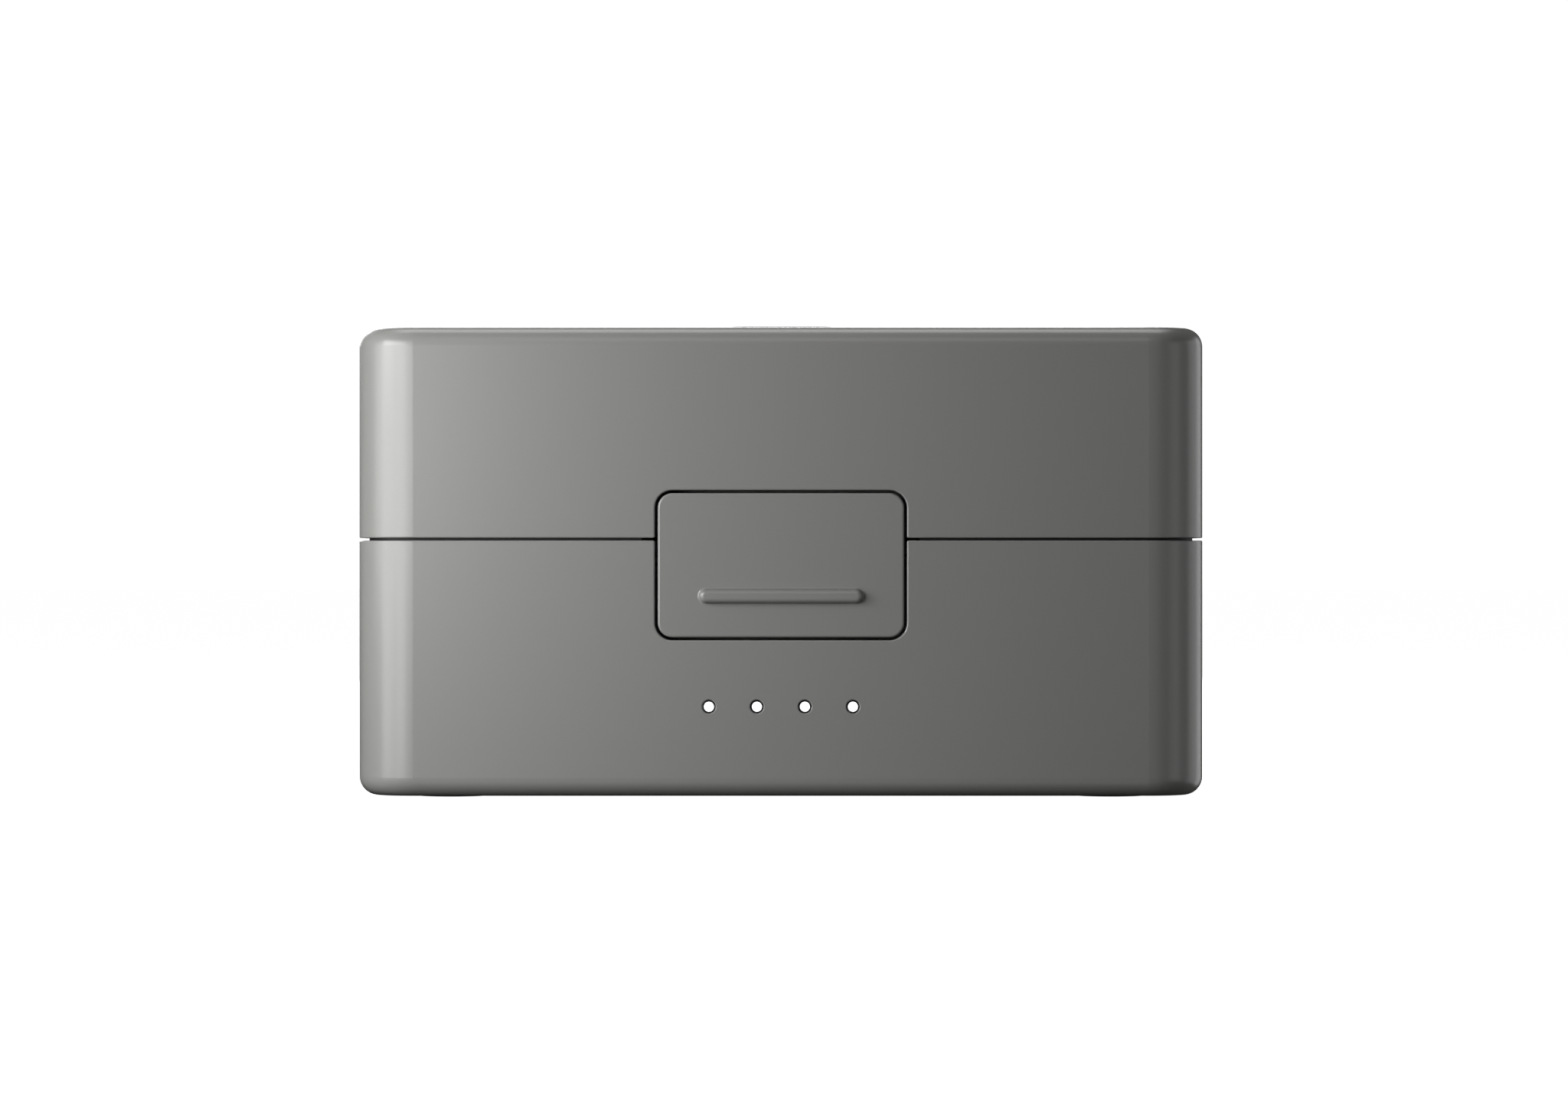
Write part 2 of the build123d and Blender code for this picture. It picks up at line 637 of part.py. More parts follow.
def contact_pins(bay_x):
    pins = []
    shoulder = BAY_TOP_OF_FLOOR - BARREL_LIP - BATTERY_CLEARANCE / 5
    for x in contact_xs(bay_x):
        at = (x, CONTACT_Y)
        tip = rod("Z", (shoulder, BAY_TOP_OF_FLOOR + PIN_PROUD), at, PIN_TIP_DIAMETER)
        tip = fillet(end_edges(tip, Axis.Z, -1), PIN_TIP_DIAMETER * 0.4)
        pins.append(tip + rod("Z", (shoulder - PIN_TAIL_LENGTH, shoulder), at, PIN_TAIL_DIAMETER))
    return group(pins)


def contact_springs(bay_x):
    low = BOARD_TOP + BARREL_FLOOR
    tail = BAY_TOP_OF_FLOOR - BARREL_LIP - BATTERY_CLEARANCE / 5 - PIN_TAIL_LENGTH
    radius = (BARREL_BORE - CONTACT_SPRING_WIRE) / 2 - 0.08
    spring = coil(radius, CONTACT_SPRING_WIRE, tail - low, CONTACT_SPRING_TURNS)
    return group(Pos(x, CONTACT_Y, low) * spring for x in contact_xs(bay_x))


# Lithium cell and its wiring


def lithium_cell():
    long, wide, thick = CELL_SIZE
    body = block((-long / 2, long / 2), (-wide / 2, wide / 2), (CELL_LOW, CELL_LOW + thick))
    return fillet(body.edges(), CELL_EDGE)


def cell_tape():
    half = [side / 2 - TAPE_MARGIN for side in CELL_SIZE[:2]]
    return block((-half[0], half[0]), (-half[1], half[1]), (FLOOR, CELL_LOW))


def cell_protection_board():
    thick, wide, high = PROTECTION_BOARD
    x, middle = CELL_SIZE[0] / 2, CELL_LOW + CELL_SIZE[2] / 2
    z = (middle - high / 2, middle + high / 2)
    return block((x, x + thick), (LEAD_Y - wide / 2, LEAD_Y + wide / 2), z)


def plug_low():
    return BOARD_TOP + (SOCKET_SIZE[2] - PLUG_SIZE[2]) / 2


def cell_lead(side):
    """An insulated wire from the cell's board, round the edge of the main board, to the plug."""
    y = LEAD_Y + side * LEAD_SPACING / 2
    start = CELL_SIZE[0] / 2 + PROTECTION_BOARD[0]
    out = BOARD_HALF_WIDTH + LEAD_EDGE_GAP + LEAD_DIAMETER / 2
    low = CELL_LOW + CELL_SIZE[2] / 2
    high = plug_low() + PLUG_SIZE[2] / 2
    end = BOARD_HALF_WIDTH - 1.6
    route = FilletPolyline((start, y, low), (out, y, low), (out, y, high), (end, y, high), radius=LEAD_BEND)
    section = Plane(origin=(start, y, low), z_dir=(1, 0, 0)) * Circle(LEAD_DIAMETER / 2)
    return sweep(section, path=route)


def cell_plug():
    end = BOARD_HALF_WIDTH - 1.6
    low, half = plug_low(), PLUG_SIZE[1] / 2
    return block((end - PLUG_SIZE[0], end), (LEAD_Y - half, LEAD_Y + half), (low, low + PLUG_SIZE[2]))


def cell_socket():
    """A shrouded socket on the board, which the plug slides into from the side."""
    face = BOARD_HALF_WIDTH - 1.6 - PLUG_SIZE[0] + PLUG_IN_SOCKET
    half, low = SOCKET_SIZE[1] / 2, plug_low()
    x = (face - SOCKET_SIZE[0], face)
    body = block(x, (LEAD_Y - half, LEAD_Y + half), (BOARD_TOP, BOARD_TOP + SOCKET_SIZE[2]))
    half_plug = PLUG_SIZE[1] / 2
    room = block((face - PLUG_IN_SOCKET, face), (LEAD_Y - half_plug, LEAD_Y + half_plug), (low, low + PLUG_SIZE[2]))
    return body - room


# Latch


def latch_panel():
    """The rocker: a flush front with a finger rib, two ears on the pin, a hook above and two spring stubs below."""
    outline = RectangleRounded(LATCH_WIDTH, LATCH_HEIGHT, LATCH_CORNER)
    body = extrude(front_plane(LATCH_BACK, LATCH_MIDDLE) * outline, LATCH_THICKNESS)
    body = fillet(end_edges(body, Axis.Y, 0), LATCH_EDGE)
    rib_z = LATCH_MIDDLE - LATCH_HEIGHT / 2 + RIB_RISE
    outline = RectangleRounded(RIB_LENGTH, RIB_WIDTH, RIB_CORNER)
    rib = extrude(front_plane(FRONT, rib_z) * outline, RIB_HEIGHT)
    body += fillet(end_edges(rib, Axis.Y, 0), RIB_EDGE)
    root = [
        edge
        for edge in body.edges()
        if abs(edge.center().Y - FRONT) < 0.001
        and abs(edge.center().Z - rib_z) < RIB_WIDTH
        and abs(edge.center().X) < RIB_LENGTH / 2 + 0.01
    ]
    body = fillet(root, RIB_ROOT)
    for span in both_sides(LATCH_EAR):
        stem = (LATCH_PIN_Z - LATCH_EAR_RADIUS, LATCH_PIN_Z + LATCH_EAR_RADIUS)
        body += block(span, (LATCH_BACK - 0.2, LATCH_PIN_Y), stem)
        body += rod("X", span, (LATCH_PIN_Y, LATCH_PIN_Z), 2 * LATCH_EAR_RADIUS)
    bore = (-LATCH_WIDTH, LATCH_WIDTH)
    body -= rod("X", bore, (LATCH_PIN_Y, LATCH_PIN_Z), LATCH_PIN_DIAMETER + SCREW_CLEARANCE)
    half = HOOK_WIDTH / 2
    arm = (SPLIT + HOOK_ARM[0], SPLIT + HOOK_ARM[1])
    tip = LATCH_BACK + HOOK_REACH
    body += block((-half, half), (LATCH_BACK - 0.2, tip), arm)
    nose = [(tip, arm[0]), (tip - HOOK_NOSE_DEPTH, arm[0])]
    nose += [(tip - HOOK_NOSE_DEPTH, arm[0] - HOOK_NOSE_DROP), (tip - HOOK_NOSE_DEPTH / 3, arm[0] - HOOK_NOSE_DROP)]
    body += side_prism(nose, (-half, half))
    for x in (-LATCH_SPRING_X, LATCH_SPRING_X):
        stub = (LATCH_BACK - 0.2, LATCH_BACK + SPRING_STUB_LENGTH)
        body += rod("Y", stub, (x, LATCH_SPRING_Z), SPRING_STUB_DIAMETER)
    return body


def latch_pin():
    end = HOUSING_HALF - 0.15
    return rod("X", (-end, end), (LATCH_PIN_Y, LATCH_PIN_Z), LATCH_PIN_DIAMETER)


def latch_springs():
    spring = coil(LATCH_SPRING_RADIUS, LATCH_SPRING_WIRE, LATCH_TRAVEL_ROOM, LATCH_SPRING_TURNS)
    turned = Rot(-90, 0, 0) * spring
    return group(Pos(x, LATCH_BACK, LATCH_SPRING_Z) * turned for x in (-LATCH_SPRING_X, LATCH_SPRING_X))


# Hinge pin and lid


def hinge_pin():
    end = HINGE_LENGTH / 2 - PIN_END_SETBACK
    pin = rod("X", (-end, end), (HINGE_Y, SPLIT), HINGE_PIN_DIAMETER)
    return chamfer(end_edges(pin, Axis.X, 0) + end_edges(pin, Axis.X, -1), 0.2)


def lid_shell():
    body = case_prism(0, (LID_RIM, TOP))
    body = fillet(end_edges(body, Axis.Z, -1), EDGE_RADIUS)
    body = fillet(end_edges(body, Axis.Z, 0), RIM_RADIUS)
    cavity = case_prism(WALL, (LID_RIM - PAST, CEILING))
    body -= fillet(end_edges(cavity, Axis.Z, -1), INNER_EDGE_RADIUS)
    body += latch_housing((LID_RIM, RECESS_HIGH + HOUSING_WALL))
    body = round_recess_mouth(body - latch_recess())
    rebate = LIP_INSET - LIP_CLEARANCE
    body -= lip_ring(rebate, WALL - rebate, (LID_RIM - PAST, LIP_TOP + LIP_CLEARANCE), 0)
    body = add_hinge(body, "lid")
    for place in liner_screw_places():
        body += rod("Z", (LINER_TOP, CEILING + WALL / 2), place, LINER_BOSS_DIAMETER)
        deep = LINER_UNDER + LINER_SCREW[3] + SCREW_CLEARANCE
        body -= rod("Z", (LINER_TOP - PAST, deep), place, LINER_SCREW[0])
    for x in (-KEEPER_SCREW_X, KEEPER_SCREW_X):
        y = (HOUSING_BACK - PAST / 5, HOUSING_BACK + HOUSING_WALL + PAST / 5)
        body -= rod("Y", y, (x, SPLIT + KEEPER_SCREW_RISE), KEEPER_SCREW[0])
    seat = [side + 2 * BADGE_CLEARANCE for side in BADGE_SIZE]
    outline = Pos(0, 0, TOP - BADGE_SEAT) * RectangleRounded(*seat, BADGE_CORNER)
    return body - extrude(outline, PAST)


def lid_badge():
    outline = Pos(0, 0, TOP - BADGE_SEAT) * RectangleRounded(*BADGE_SIZE, BADGE_CORNER)
    return fillet(end_edges(extrude(outline, BADGE_SEAT + BADGE_RISE), Axis.Z, -1), BADGE_EDGE)


def lid_liner():
    body = case_prism(LINER_INSET, (LINER_BOTTOM, LINER_TOP))
    body = fillet(end_edges(body, Axis.Z, -1), INNER_EDGE_RADIUS + TRAY_CLEARANCE)
    room = case_prism(LINER_INSET + LINER_WALL, (LINER_BOTTOM - PAST, LINER_UNDER))
    body -= fillet(end_edges(room, Axis.Z, -1), INNER_EDGE_RADIUS)
    housing = HOUSING_HALF + TRAY_CLEARANCE
    behind = HOUSING_BACK + HOUSING_WALL + TRAY_CLEARANCE
    above = RECESS_HIGH + HOUSING_WALL + TRAY_CLEARANCE
    body -= block((-housing, housing), (FRONT, behind), (LID_RIM, above))
    hinge = HINGE_LENGTH / 2 + LIP_CLEARANCE
    before = HINGE_Y - KNUCKLE_RADIUS - KNUCKLE_CLEARANCE
    body -= block((-hinge, hinge), (before, REAR), (LID_RIM, SPLIT + GUSSET_DEPTH + TRAY_CLEARANCE))
    for place in liner_screw_places():
        hole = LINER_SCREW[0] + 2 * SCREW_CLEARANCE
        body -= rod("Z", (LINER_UNDER - PAST, LINER_TOP + PAST), place, hole)
    return body


def liner_screws():
    return group(Pos(*place, LINER_UNDER) * screw(LINER_SCREW) for place in liner_screw_places())


def lid_pad(bay_x):
    """A foam pad on the liner's ceiling, over one battery."""
    outline = Pos(bay_x, BAY_MIDDLE_Y, BATTERY_TOP + PAD_GAP) * RectangleRounded(*PAD_SIZE, PAD_CORNER)
    pad = extrude(outline, LINER_UNDER - BATTERY_TOP - PAD_GAP)
    return fillet(end_edges(pad, Axis.Z, 0), PAD_EDGE)


def keeper_plate():
    """A steel plate on the back of the lid's half of the housing, with a lip that the latch's hook holds down."""
    half = KEEPER_WIDTH / 2
    low = SPLIT + KEEPER_LIP_RISE
    face = HOUSING_BACK - KEEPER_THICKNESS
    body = block((-half, half), (face, HOUSING_BACK), (low, low + KEEPER_HEIGHT))
    lip = (low, low + KEEPER_LIP_HEIGHT)
    body += block((-HOOK_WIDTH / 2 - 1, HOOK_WIDTH / 2 + 1), (face - KEEPER_LIP, face), lip)
    for x in (-KEEPER_SCREW_X, KEEPER_SCREW_X):
        hole = KEEPER_SCREW[0] + SCREW_CLEARANCE
        body -= rod("Y", (face - PAST, HOUSING_BACK), (x, SPLIT + KEEPER_SCREW_RISE), hole)
    return body


def keeper_screws():
    face = HOUSING_BACK - KEEPER_THICKNESS
    turned = Rot(-90, 0, 0) * screw(KEEPER_SCREW)
    return group(
        Pos(x, face, SPLIT + KEEPER_SCREW_RISE) * turned for x in (-KEEPER_SCREW_X, KEEPER_SCREW_X)
    )


def all_parts():
    parts = {
        "base_shell": base_shell(),
        "base_tray": base_tray(),
        "base_screws": base_screws(),
        "main_circuit_board": main_circuit_board(),
        "circuit_board_screws": board_screws(),
        "charge_controller_chip": chip((0.0, 6.0), 5.0, 0.9),
        "microcontroller_chip": chip((BAY_XS[0] + 6.0, 7.0), 4.0, 0.8),
        "power_inductors": power_inductors(),
        "capacitors": capacitors(),
        "status_leds": status_leds(),
        "light_pipe_strip": light_pipe_strip(),
        "usb_socket_shell": usb_shell(),
        "usb_socket_tongue": usb_tongue(),
        "lithium_cell": lithium_cell(),
        "cell_tape": cell_tape(),
        "cell_protection_board": cell_protection_board(),
        "cell_lead_positive": cell_lead(1),
        "cell_lead_negative": cell_lead(-1),
        "cell_plug": cell_plug(),
        "cell_socket": cell_socket(),
        "hinge_pin": hinge_pin(),
        "latch_panel": latch_panel(),
        "latch_pin": latch_pin(),
        "latch_springs": latch_springs(),
        "lid_shell": lid_shell(),
        "lid_badge": lid_badge(),
        "lid_liner": lid_liner(),
        "lid_liner_screws": liner_screws(),
        "keeper_plate": keeper_plate(),
        "keeper_screws": keeper_screws(),
    }
    for name, place in foot_places().items():
        parts[f"foot_{name}"] = foot(place)
    for name, x in zip(BAY_NAMES, BAY_XS):
        parts[f"contact_block_{name}"] = contact_block(x)
        parts[f"contact_barrels_{name}"] = contact_barrels(x)
        parts[f"contact_pins_{name}"] = contact_pins(x)
        parts[f"contact_springs_{name}"] = contact_springs(x)
        parts[f"lid_pad_{name}"] = lid_pad(x)
    return parts


os.makedirs("parts", exist_ok=True)
for node, shape in all_parts().items():
    export_step(shape, f"parts/{node}.step")
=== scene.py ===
"""Portable battery charging case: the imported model's visible surfaces, its materials and a small studio."""

import json
import math

import bmesh
import bpy
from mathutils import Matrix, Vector


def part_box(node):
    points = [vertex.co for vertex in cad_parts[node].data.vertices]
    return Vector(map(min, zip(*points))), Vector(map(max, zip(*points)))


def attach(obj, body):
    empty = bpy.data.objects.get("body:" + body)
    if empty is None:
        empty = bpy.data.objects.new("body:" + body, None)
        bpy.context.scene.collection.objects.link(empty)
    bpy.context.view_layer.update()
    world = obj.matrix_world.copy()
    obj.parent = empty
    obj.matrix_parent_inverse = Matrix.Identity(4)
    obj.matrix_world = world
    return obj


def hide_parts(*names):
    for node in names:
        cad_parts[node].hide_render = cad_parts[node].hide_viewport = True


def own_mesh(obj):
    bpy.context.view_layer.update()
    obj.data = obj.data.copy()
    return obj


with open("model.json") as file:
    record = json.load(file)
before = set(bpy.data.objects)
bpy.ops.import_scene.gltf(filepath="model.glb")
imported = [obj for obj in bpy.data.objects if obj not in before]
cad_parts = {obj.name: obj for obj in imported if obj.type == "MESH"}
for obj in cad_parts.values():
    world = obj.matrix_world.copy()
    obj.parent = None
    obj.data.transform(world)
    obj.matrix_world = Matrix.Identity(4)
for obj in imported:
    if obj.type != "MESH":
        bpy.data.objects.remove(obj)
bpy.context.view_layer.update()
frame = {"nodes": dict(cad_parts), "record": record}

MM = 0.001
QUARTER = math.pi / 2  # a quarter turn
BAYS = ("left", "middle", "right")
FEET = ("front_left", "front_right", "rear_left", "rear_right")
GLOW_OF_LIGHTS = 0.93  # just under white


# Nodes


def linear(hex_colour):
    """An sRGB hex colour as linear red, green, blue and alpha."""
    channels = [int(hex_colour[i : i + 2], 16) / 255 for i in (0, 2, 4)]
    return (*(c / 12.92 if c <= 0.04045 else ((c + 0.055) / 1.055) ** 2.4 for c in channels), 1.0)


def add(tree, kind, inputs=None, **settings):
    """Adds a node with its settings, then fills each named or numbered input with a value or a link."""
    node = tree.nodes.new(kind)
    for name, value in settings.items():
        setattr(node, name, value)
    for key, value in (inputs or {}).items():
        if isinstance(value, bpy.types.NodeSocket):
            tree.links.new(value, node.inputs[key])
        else:
            node.inputs[key].default_value = value
    return node


def material(name, surface):
    """A material whose shader inputs come from surface(tree, place), where place is Object coordinates."""
    made = bpy.data.materials.new(name)
    made.use_nodes = True
    tree = made.node_tree
    tree.nodes.clear()
    place = add(tree, "ShaderNodeTexCoord").outputs["Object"]
    shader = add(tree, "ShaderNodeBsdfPrincipled", surface(tree, place))
    add(tree, "ShaderNodeOutputMaterial", {"Surface": shader.outputs["BSDF"]})
    return made


def grain(tree, place, size, detail=2.0, rough=0.5, stretch=None):
    """Noise from 0 to 1 with blobs about size metres across, repeated stretch times as often on each axis."""
    if stretch:
        place = add(tree, "ShaderNodeMapping", {"Vector": place, "Scale": stretch}).outputs["Vector"]
    inputs = {"Vector": place, "Scale": 1 / size, "Detail": detail, "Roughness": rough}
    return add(tree, "ShaderNodeTexNoise", inputs).outputs["Fac"]


def coat(tree, colour, roughness, relief=None, plain=None):
    """The shader inputs of a finish: colour is (pattern, dark, light), roughness is (pattern, low, high), relief
    is (pattern, depth in metres, strength), and plain holds the inputs that are the same all over."""
    pattern, dark, light = colour
    inputs = {0: pattern, 6: linear(dark), 7: linear(light)}
    made = {"Base Color": add(tree, "ShaderNodeMix", inputs, data_type="RGBA").outputs[2]}
    pattern, low, high = roughness
    inputs = {"Value": pattern, "To Min": low, "To Max": high}
    made["Roughness"] = add(tree, "ShaderNodeMapRange", inputs).outputs["Result"]
    if relief:
        pattern, depth, strength = relief
        inputs = {"Height": pattern, "Distance": depth, "Strength": strength}
        made["Normal"] = add(tree, "ShaderNodeBump", inputs).outputs["Normal"]
    return {**made, **(plain or {})}


# Materials


def painted_polycarbonate(tree, place):
    # Moulded polycarbonate, sprayed with a satin grey paint: an even grey with a broad soft highlight.
    # The spray leaves a faint orange peel about 1 mm across and slow changes of gloss over 14 mm, and the
    # pigment leaves a speck of 0.2 mm.
    speck = grain(tree, place, 0.2 * MM, 1.0)
    cloud = grain(tree, place, 14 * MM, 1.0)
    peel = grain(tree, place, 1.1 * MM, 1.0)
    return coat(
        tree,
        colour=(speck, "767674", "787876"),
        roughness=(cloud, 0.29, 0.31),
        relief=(peel, 0.0016 * MM, 1.0),
        plain={"IOR": 1.5},
    )


def eroded_abs(tree, place):
    # Black ABS from a spark-eroded mould: matt, with a fine sandy texture, 0.35 mm across.
    sand = grain(tree, place, 0.35 * MM, 3.0, 0.6)
    return coat(
        tree,
        colour=(sand, "161617", "202022"),
        roughness=(sand, 0.52, 0.7),
        relief=(sand, 0.02 * MM, 0.7),
        plain={"IOR": 1.53},
    )


def silicone_rubber(tree, place):
    # Compression-moulded black silicone: matt and slightly dusty, with a soft sheen.
    dust = grain(tree, place, 0.8 * MM, 4.0, 0.65)
    return coat(
        tree,
        colour=(dust, "131313", "242423"),
        roughness=(dust, 0.62, 0.85),
        relief=(dust, 0.01 * MM, 1.0),
        plain={"IOR": 1.41},
    )


def eva_foam(tree, place):
    # Closed-cell EVA foam, die cut: dark grey and very matt, with cut cells 0.5 mm across.
    cells = add(tree, "ShaderNodeTexVoronoi", {"Vector": place, "Scale": 1 / (0.5 * MM)}, feature="F1")
    depth = cells.outputs["Distance"]
    return coat(
        tree,
        colour=(depth, "1c1c1e", "38383a"),
        roughness=(depth, 0.95, 0.8),
        relief=(depth, 0.06 * MM, 0.8),
    )


def zinc_plated_steel(tree, place):
    # Cold-headed screws with clear zinc plating: a bright, faintly blue metal with light handling marks.
    marks = grain(tree, place, 0.3 * MM, 3.0)
    return coat(
        tree,
        colour=(marks, "a9adb2", "c6c9cc"),
        roughness=(marks, 0.24, 0.42),
        relief=(marks, 0.003 * MM, 1.0),
        plain={"Metallic": 1.0},
    )


def steel_rod(dark, light, smooth, rough):
    """Centreless-ground steel rod in the given colours and roughness, with rings 0.08 mm apart along X."""

    def surface(tree, place):
        rings = grain(tree, place, 1.0 * MM, 2.0, stretch=(12.0, 0.6, 0.6))
        return coat(
            tree,
            colour=(rings, dark, light),
            roughness=(rings, smooth, rough),
            relief=(rings, 0.002 * MM, 1.0),
            plain={"Metallic": 1.0},
        )

    return surface


def music_wire(tree, place):
    # Drawn spring wire: bright steel with faint draw marks.
    marks = grain(tree, place, 0.12 * MM, 2.0)
    return coat(
        tree,
        colour=(marks, "8f9092", "aeb0b2"),
        roughness=(marks, 0.26, 0.4),
        plain={"Metallic": 1.0},
    )


def gold_plate(tree, place):
    # Hard gold over nickel on turned brass: warm yellow, with turning marks 0.07 mm apart up the pin.
    marks = grain(tree, place, 1.0 * MM, 2.0, stretch=(1.0, 1.0, 14.0))
    return coat(
        tree,
        colour=(marks, "d9a94e", "efcb7c"),
        roughness=(marks, 0.18, 0.32),
        relief=(marks, 0.002 * MM, 1.0),
        plain={"Metallic": 1.0},
    )


def stamped_stainless(tree, place):
    # Stainless strip, rolled then stamped: a fine grain along X, about 0.12 mm across.
    lines = grain(tree, place, 1.0 * MM, 3.0, stretch=(0.5, 8.0, 8.0))
    return coat(
        tree,
        colour=(lines, "9b9b9a", "bdbdbb"),
        roughness=(lines, 0.28, 0.44),
        relief=(lines, 0.003 * MM, 1.0),
        plain={"Metallic": 1.0},
    )


def solder_mask(tree, place):
    # Green solder mask over woven glass: glossy, with the 1 mm weave showing through as a faint relief.
    weave = add(tree, "ShaderNodeTexChecker", {"Vector": place, "Scale": 1 / (1.0 * MM)})
    thread = grain(tree, place, 0.25 * MM, 2.0)
    both = add(tree, "ShaderNodeMath", {0: weave.outputs["Fac"], 1: thread}, operation="MULTIPLY").outputs[0]
    return coat(
        tree,
        colour=(both, "0c3a22", "12502f"),
        roughness=(thread, 0.24, 0.34),
        relief=(both, 0.004 * MM, 1.0),
        plain={"IOR": 1.55},
    )


def epoxy_moulding(tree, place):
    # Filled epoxy chip packages: charcoal, matt, with fine silica filler.
    filler = grain(tree, place, 0.12 * MM, 2.0)
    return coat(
        tree,
        colour=(filler, "1a1a1c", "27272a"),
        roughness=(filler, 0.5, 0.66),
        relief=(filler, 0.004 * MM, 1.0),
        plain={"IOR": 1.55},
    )


def pressed_ferrite(tree, place):
    # Pressed iron powder: grey and granular, with 0.2 mm grains.
    grit = grain(tree, place, 0.2 * MM, 3.0, 0.7)
    inputs = {"Value": grit, "To Min": 0.1, "To Max": 0.45}
    iron = add(tree, "ShaderNodeMapRange", inputs).outputs["Result"]
    return coat(
        tree,
        colour=(grit, "38393c", "5a5b5e"),
        roughness=(grit, 0.5, 0.7),
        relief=(grit, 0.01 * MM, 1.0),
        plain={"Metallic": iron},
    )


def fired_ceramic(tree, place):
    # Fired barium titanate: tan, with a slight glaze.
    fleck = grain(tree, place, 0.15 * MM, 2.0)
    return coat(
        tree,
        colour=(fleck, "8a6a48", "a5845e"),
        roughness=(fleck, 0.3, 0.42),
        plain={"IOR": 1.6},
    )


def lit_acrylic(tree, place):
    # Moulded clear acrylic that carries white light: its frosted front faces glow, and the bar behind them
    # stays dim. The glow fades out from 0.03 to 0.1 mm behind the tips, and off faces that turn from the front.
    behind = add(tree, "ShaderNodeSeparateXYZ", {"Vector": place}).outputs["Y"]
    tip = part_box("light_pipe_strip")[0].y
    fade = {"From Min": tip + 0.1 * MM, "From Max": tip + 0.03 * MM, "To Max": GLOW_OF_LIGHTS}
    inputs = {"Value": behind, **fade}
    near = add(tree, "ShaderNodeMapRange", inputs).outputs["Result"]
    normal = add(tree, "ShaderNodeNewGeometry").outputs["Normal"]
    facing = add(tree, "ShaderNodeSeparateXYZ", {"Vector": normal}).outputs["Y"]
    inputs = {"Value": facing, "From Min": -0.8, "From Max": -0.95}
    forward = add(tree, "ShaderNodeMapRange", inputs).outputs["Result"]
    glow = add(tree, "ShaderNodeMath", {0: near, 1: forward}, operation="MULTIPLY").outputs[0]
    haze = grain(tree, place, 0.5 * MM, 1.0)
    return coat(
        tree,
        colour=(haze, "e9eef2", "f6f9fb"),
        roughness=(haze, 0.16, 0.24),
        plain={
            "IOR": 1.49,
            "Transmission Weight": 0.4,
            "Emission Color": linear("fffefa"),
            "Emission Strength": glow,
        },
    )


def phosphor_silicone(tree, place):
    # White LED packages: cream phosphor in silicone.
    cloud = grain(tree, place, 0.4 * MM, 1.0)
    return coat(
        tree,
        colour=(cloud, "e6dfae", "f1edcb"),
        roughness=(cloud, 0.3, 0.45),
        plain={"IOR": 1.41},
    )


def liquid_crystal_polymer(tree, place):
    # Glass-filled connector plastic: near black, satin, with short fibre flecks.
    flecks = grain(tree, place, 0.4 * MM, 2.0, stretch=(3.0, 1.0, 1.0))
    return coat(
        tree,
        colour=(flecks, "141415", "222224"),
        roughness=(flecks, 0.42, 0.56),
        relief=(flecks, 0.003 * MM, 1.0),
        plain={"IOR": 1.6},
    )


def natural_nylon(tree, place):
    # Unpigmented nylon 66: milky cream, slightly translucent and satin.
    cloud = grain(tree, place, 1.2 * MM, 2.0)
    return coat(
        tree,
        colour=(cloud, "d9d2bd", "e8e2d0"),
        roughness=(cloud, 0.38, 0.5),
        plain={"IOR": 1.53, "Subsurface Weight": 0.1, "Subsurface Scale": 0.6 * MM},
    )


def laminated_foil(tree, place):
    # Aluminium pouch laminate: bright but soft, with broad shallow dents 6 mm across and a fine crinkle.
    dents = grain(tree, place, 6 * MM, 2.0)
    crinkle = grain(tree, place, 0.7 * MM, 2.0)
    both = add(tree, "ShaderNodeMath", {0: dents, 1: crinkle}, operation="MULTIPLY").outputs[0]
    return coat(
        tree,
        colour=(dents, "a8a9aa", "c4c5c6"),
        roughness=(crinkle, 0.32, 0.48),
        relief=(both, 0.08 * MM, 0.6),
        plain={"Metallic": 0.9},
    )


def acrylic_foam_tape(tree, place):
    # Grey acrylic foam tape: matt and open-pored.
    pores = grain(tree, place, 0.3 * MM, 3.0)
    return coat(
        tree,
        colour=(pores, "4e4f50", "6a6b6c"),
        roughness=(pores, 0.8, 0.95),
        relief=(pores, 0.02 * MM, 1.0),
    )


def pvc_insulation(dark, light):
    """Extruded PVC wire insulation in the given colours: satin, with faint streaks."""

    def surface(tree, place):
        streaks = grain(tree, place, 0.5 * MM, 1.0)
        return coat(
            tree,
            colour=(streaks, dark, light),
            roughness=(streaks, 0.34, 0.46),
            plain={"IOR": 1.54},
        )

    return surface


def pad_printed_ink(tree, place):
    # Pale grey two-part ink, pad printed: matt, a little thin in places.
    thin = grain(tree, place, 0.3 * MM, 3.0)
    return coat(
        tree,
        colour=(thin, "9a9a97", "c4c4c1"),
        roughness=(thin, 0.5, 0.65),
    )


MATERIALS = {
    "satin painted polycarbonate": painted_polycarbonate,
    "spark eroded ABS": eroded_abs,
    "moulded silicone rubber": silicone_rubber,
    "die cut EVA foam": eva_foam,
    "zinc plated steel": zinc_plated_steel,
    "ground steel": steel_rod("b4b5b6", "cbcccd", 0.2, 0.36),
    "black oxide steel": steel_rod("202124", "34353a", 0.34, 0.48),
    "drawn spring wire": music_wire,
    "gold plated brass": gold_plate,
    "stamped stainless": stamped_stainless,
    "solder masked glass epoxy": solder_mask,
    "epoxy moulding compound": epoxy_moulding,
    "pressed ferrite": pressed_ferrite,
    "fired ceramic": fired_ceramic,
    "lit acrylic": lit_acrylic,
    "phosphor silicone": phosphor_silicone,
    "liquid crystal polymer": liquid_crystal_polymer,
    "natural nylon": natural_nylon,
    "laminated foil": laminated_foil,
    "acrylic foam tape": acrylic_foam_tape,
    "red PVC": pvc_insulation("8c1212", "a81c1a"),
    "black PVC": pvc_insulation("141414", "202020"),
    "pad printed ink": pad_printed_ink,
}
finishes = {name: material(name, surface) for name, surface in MATERIALS.items()}

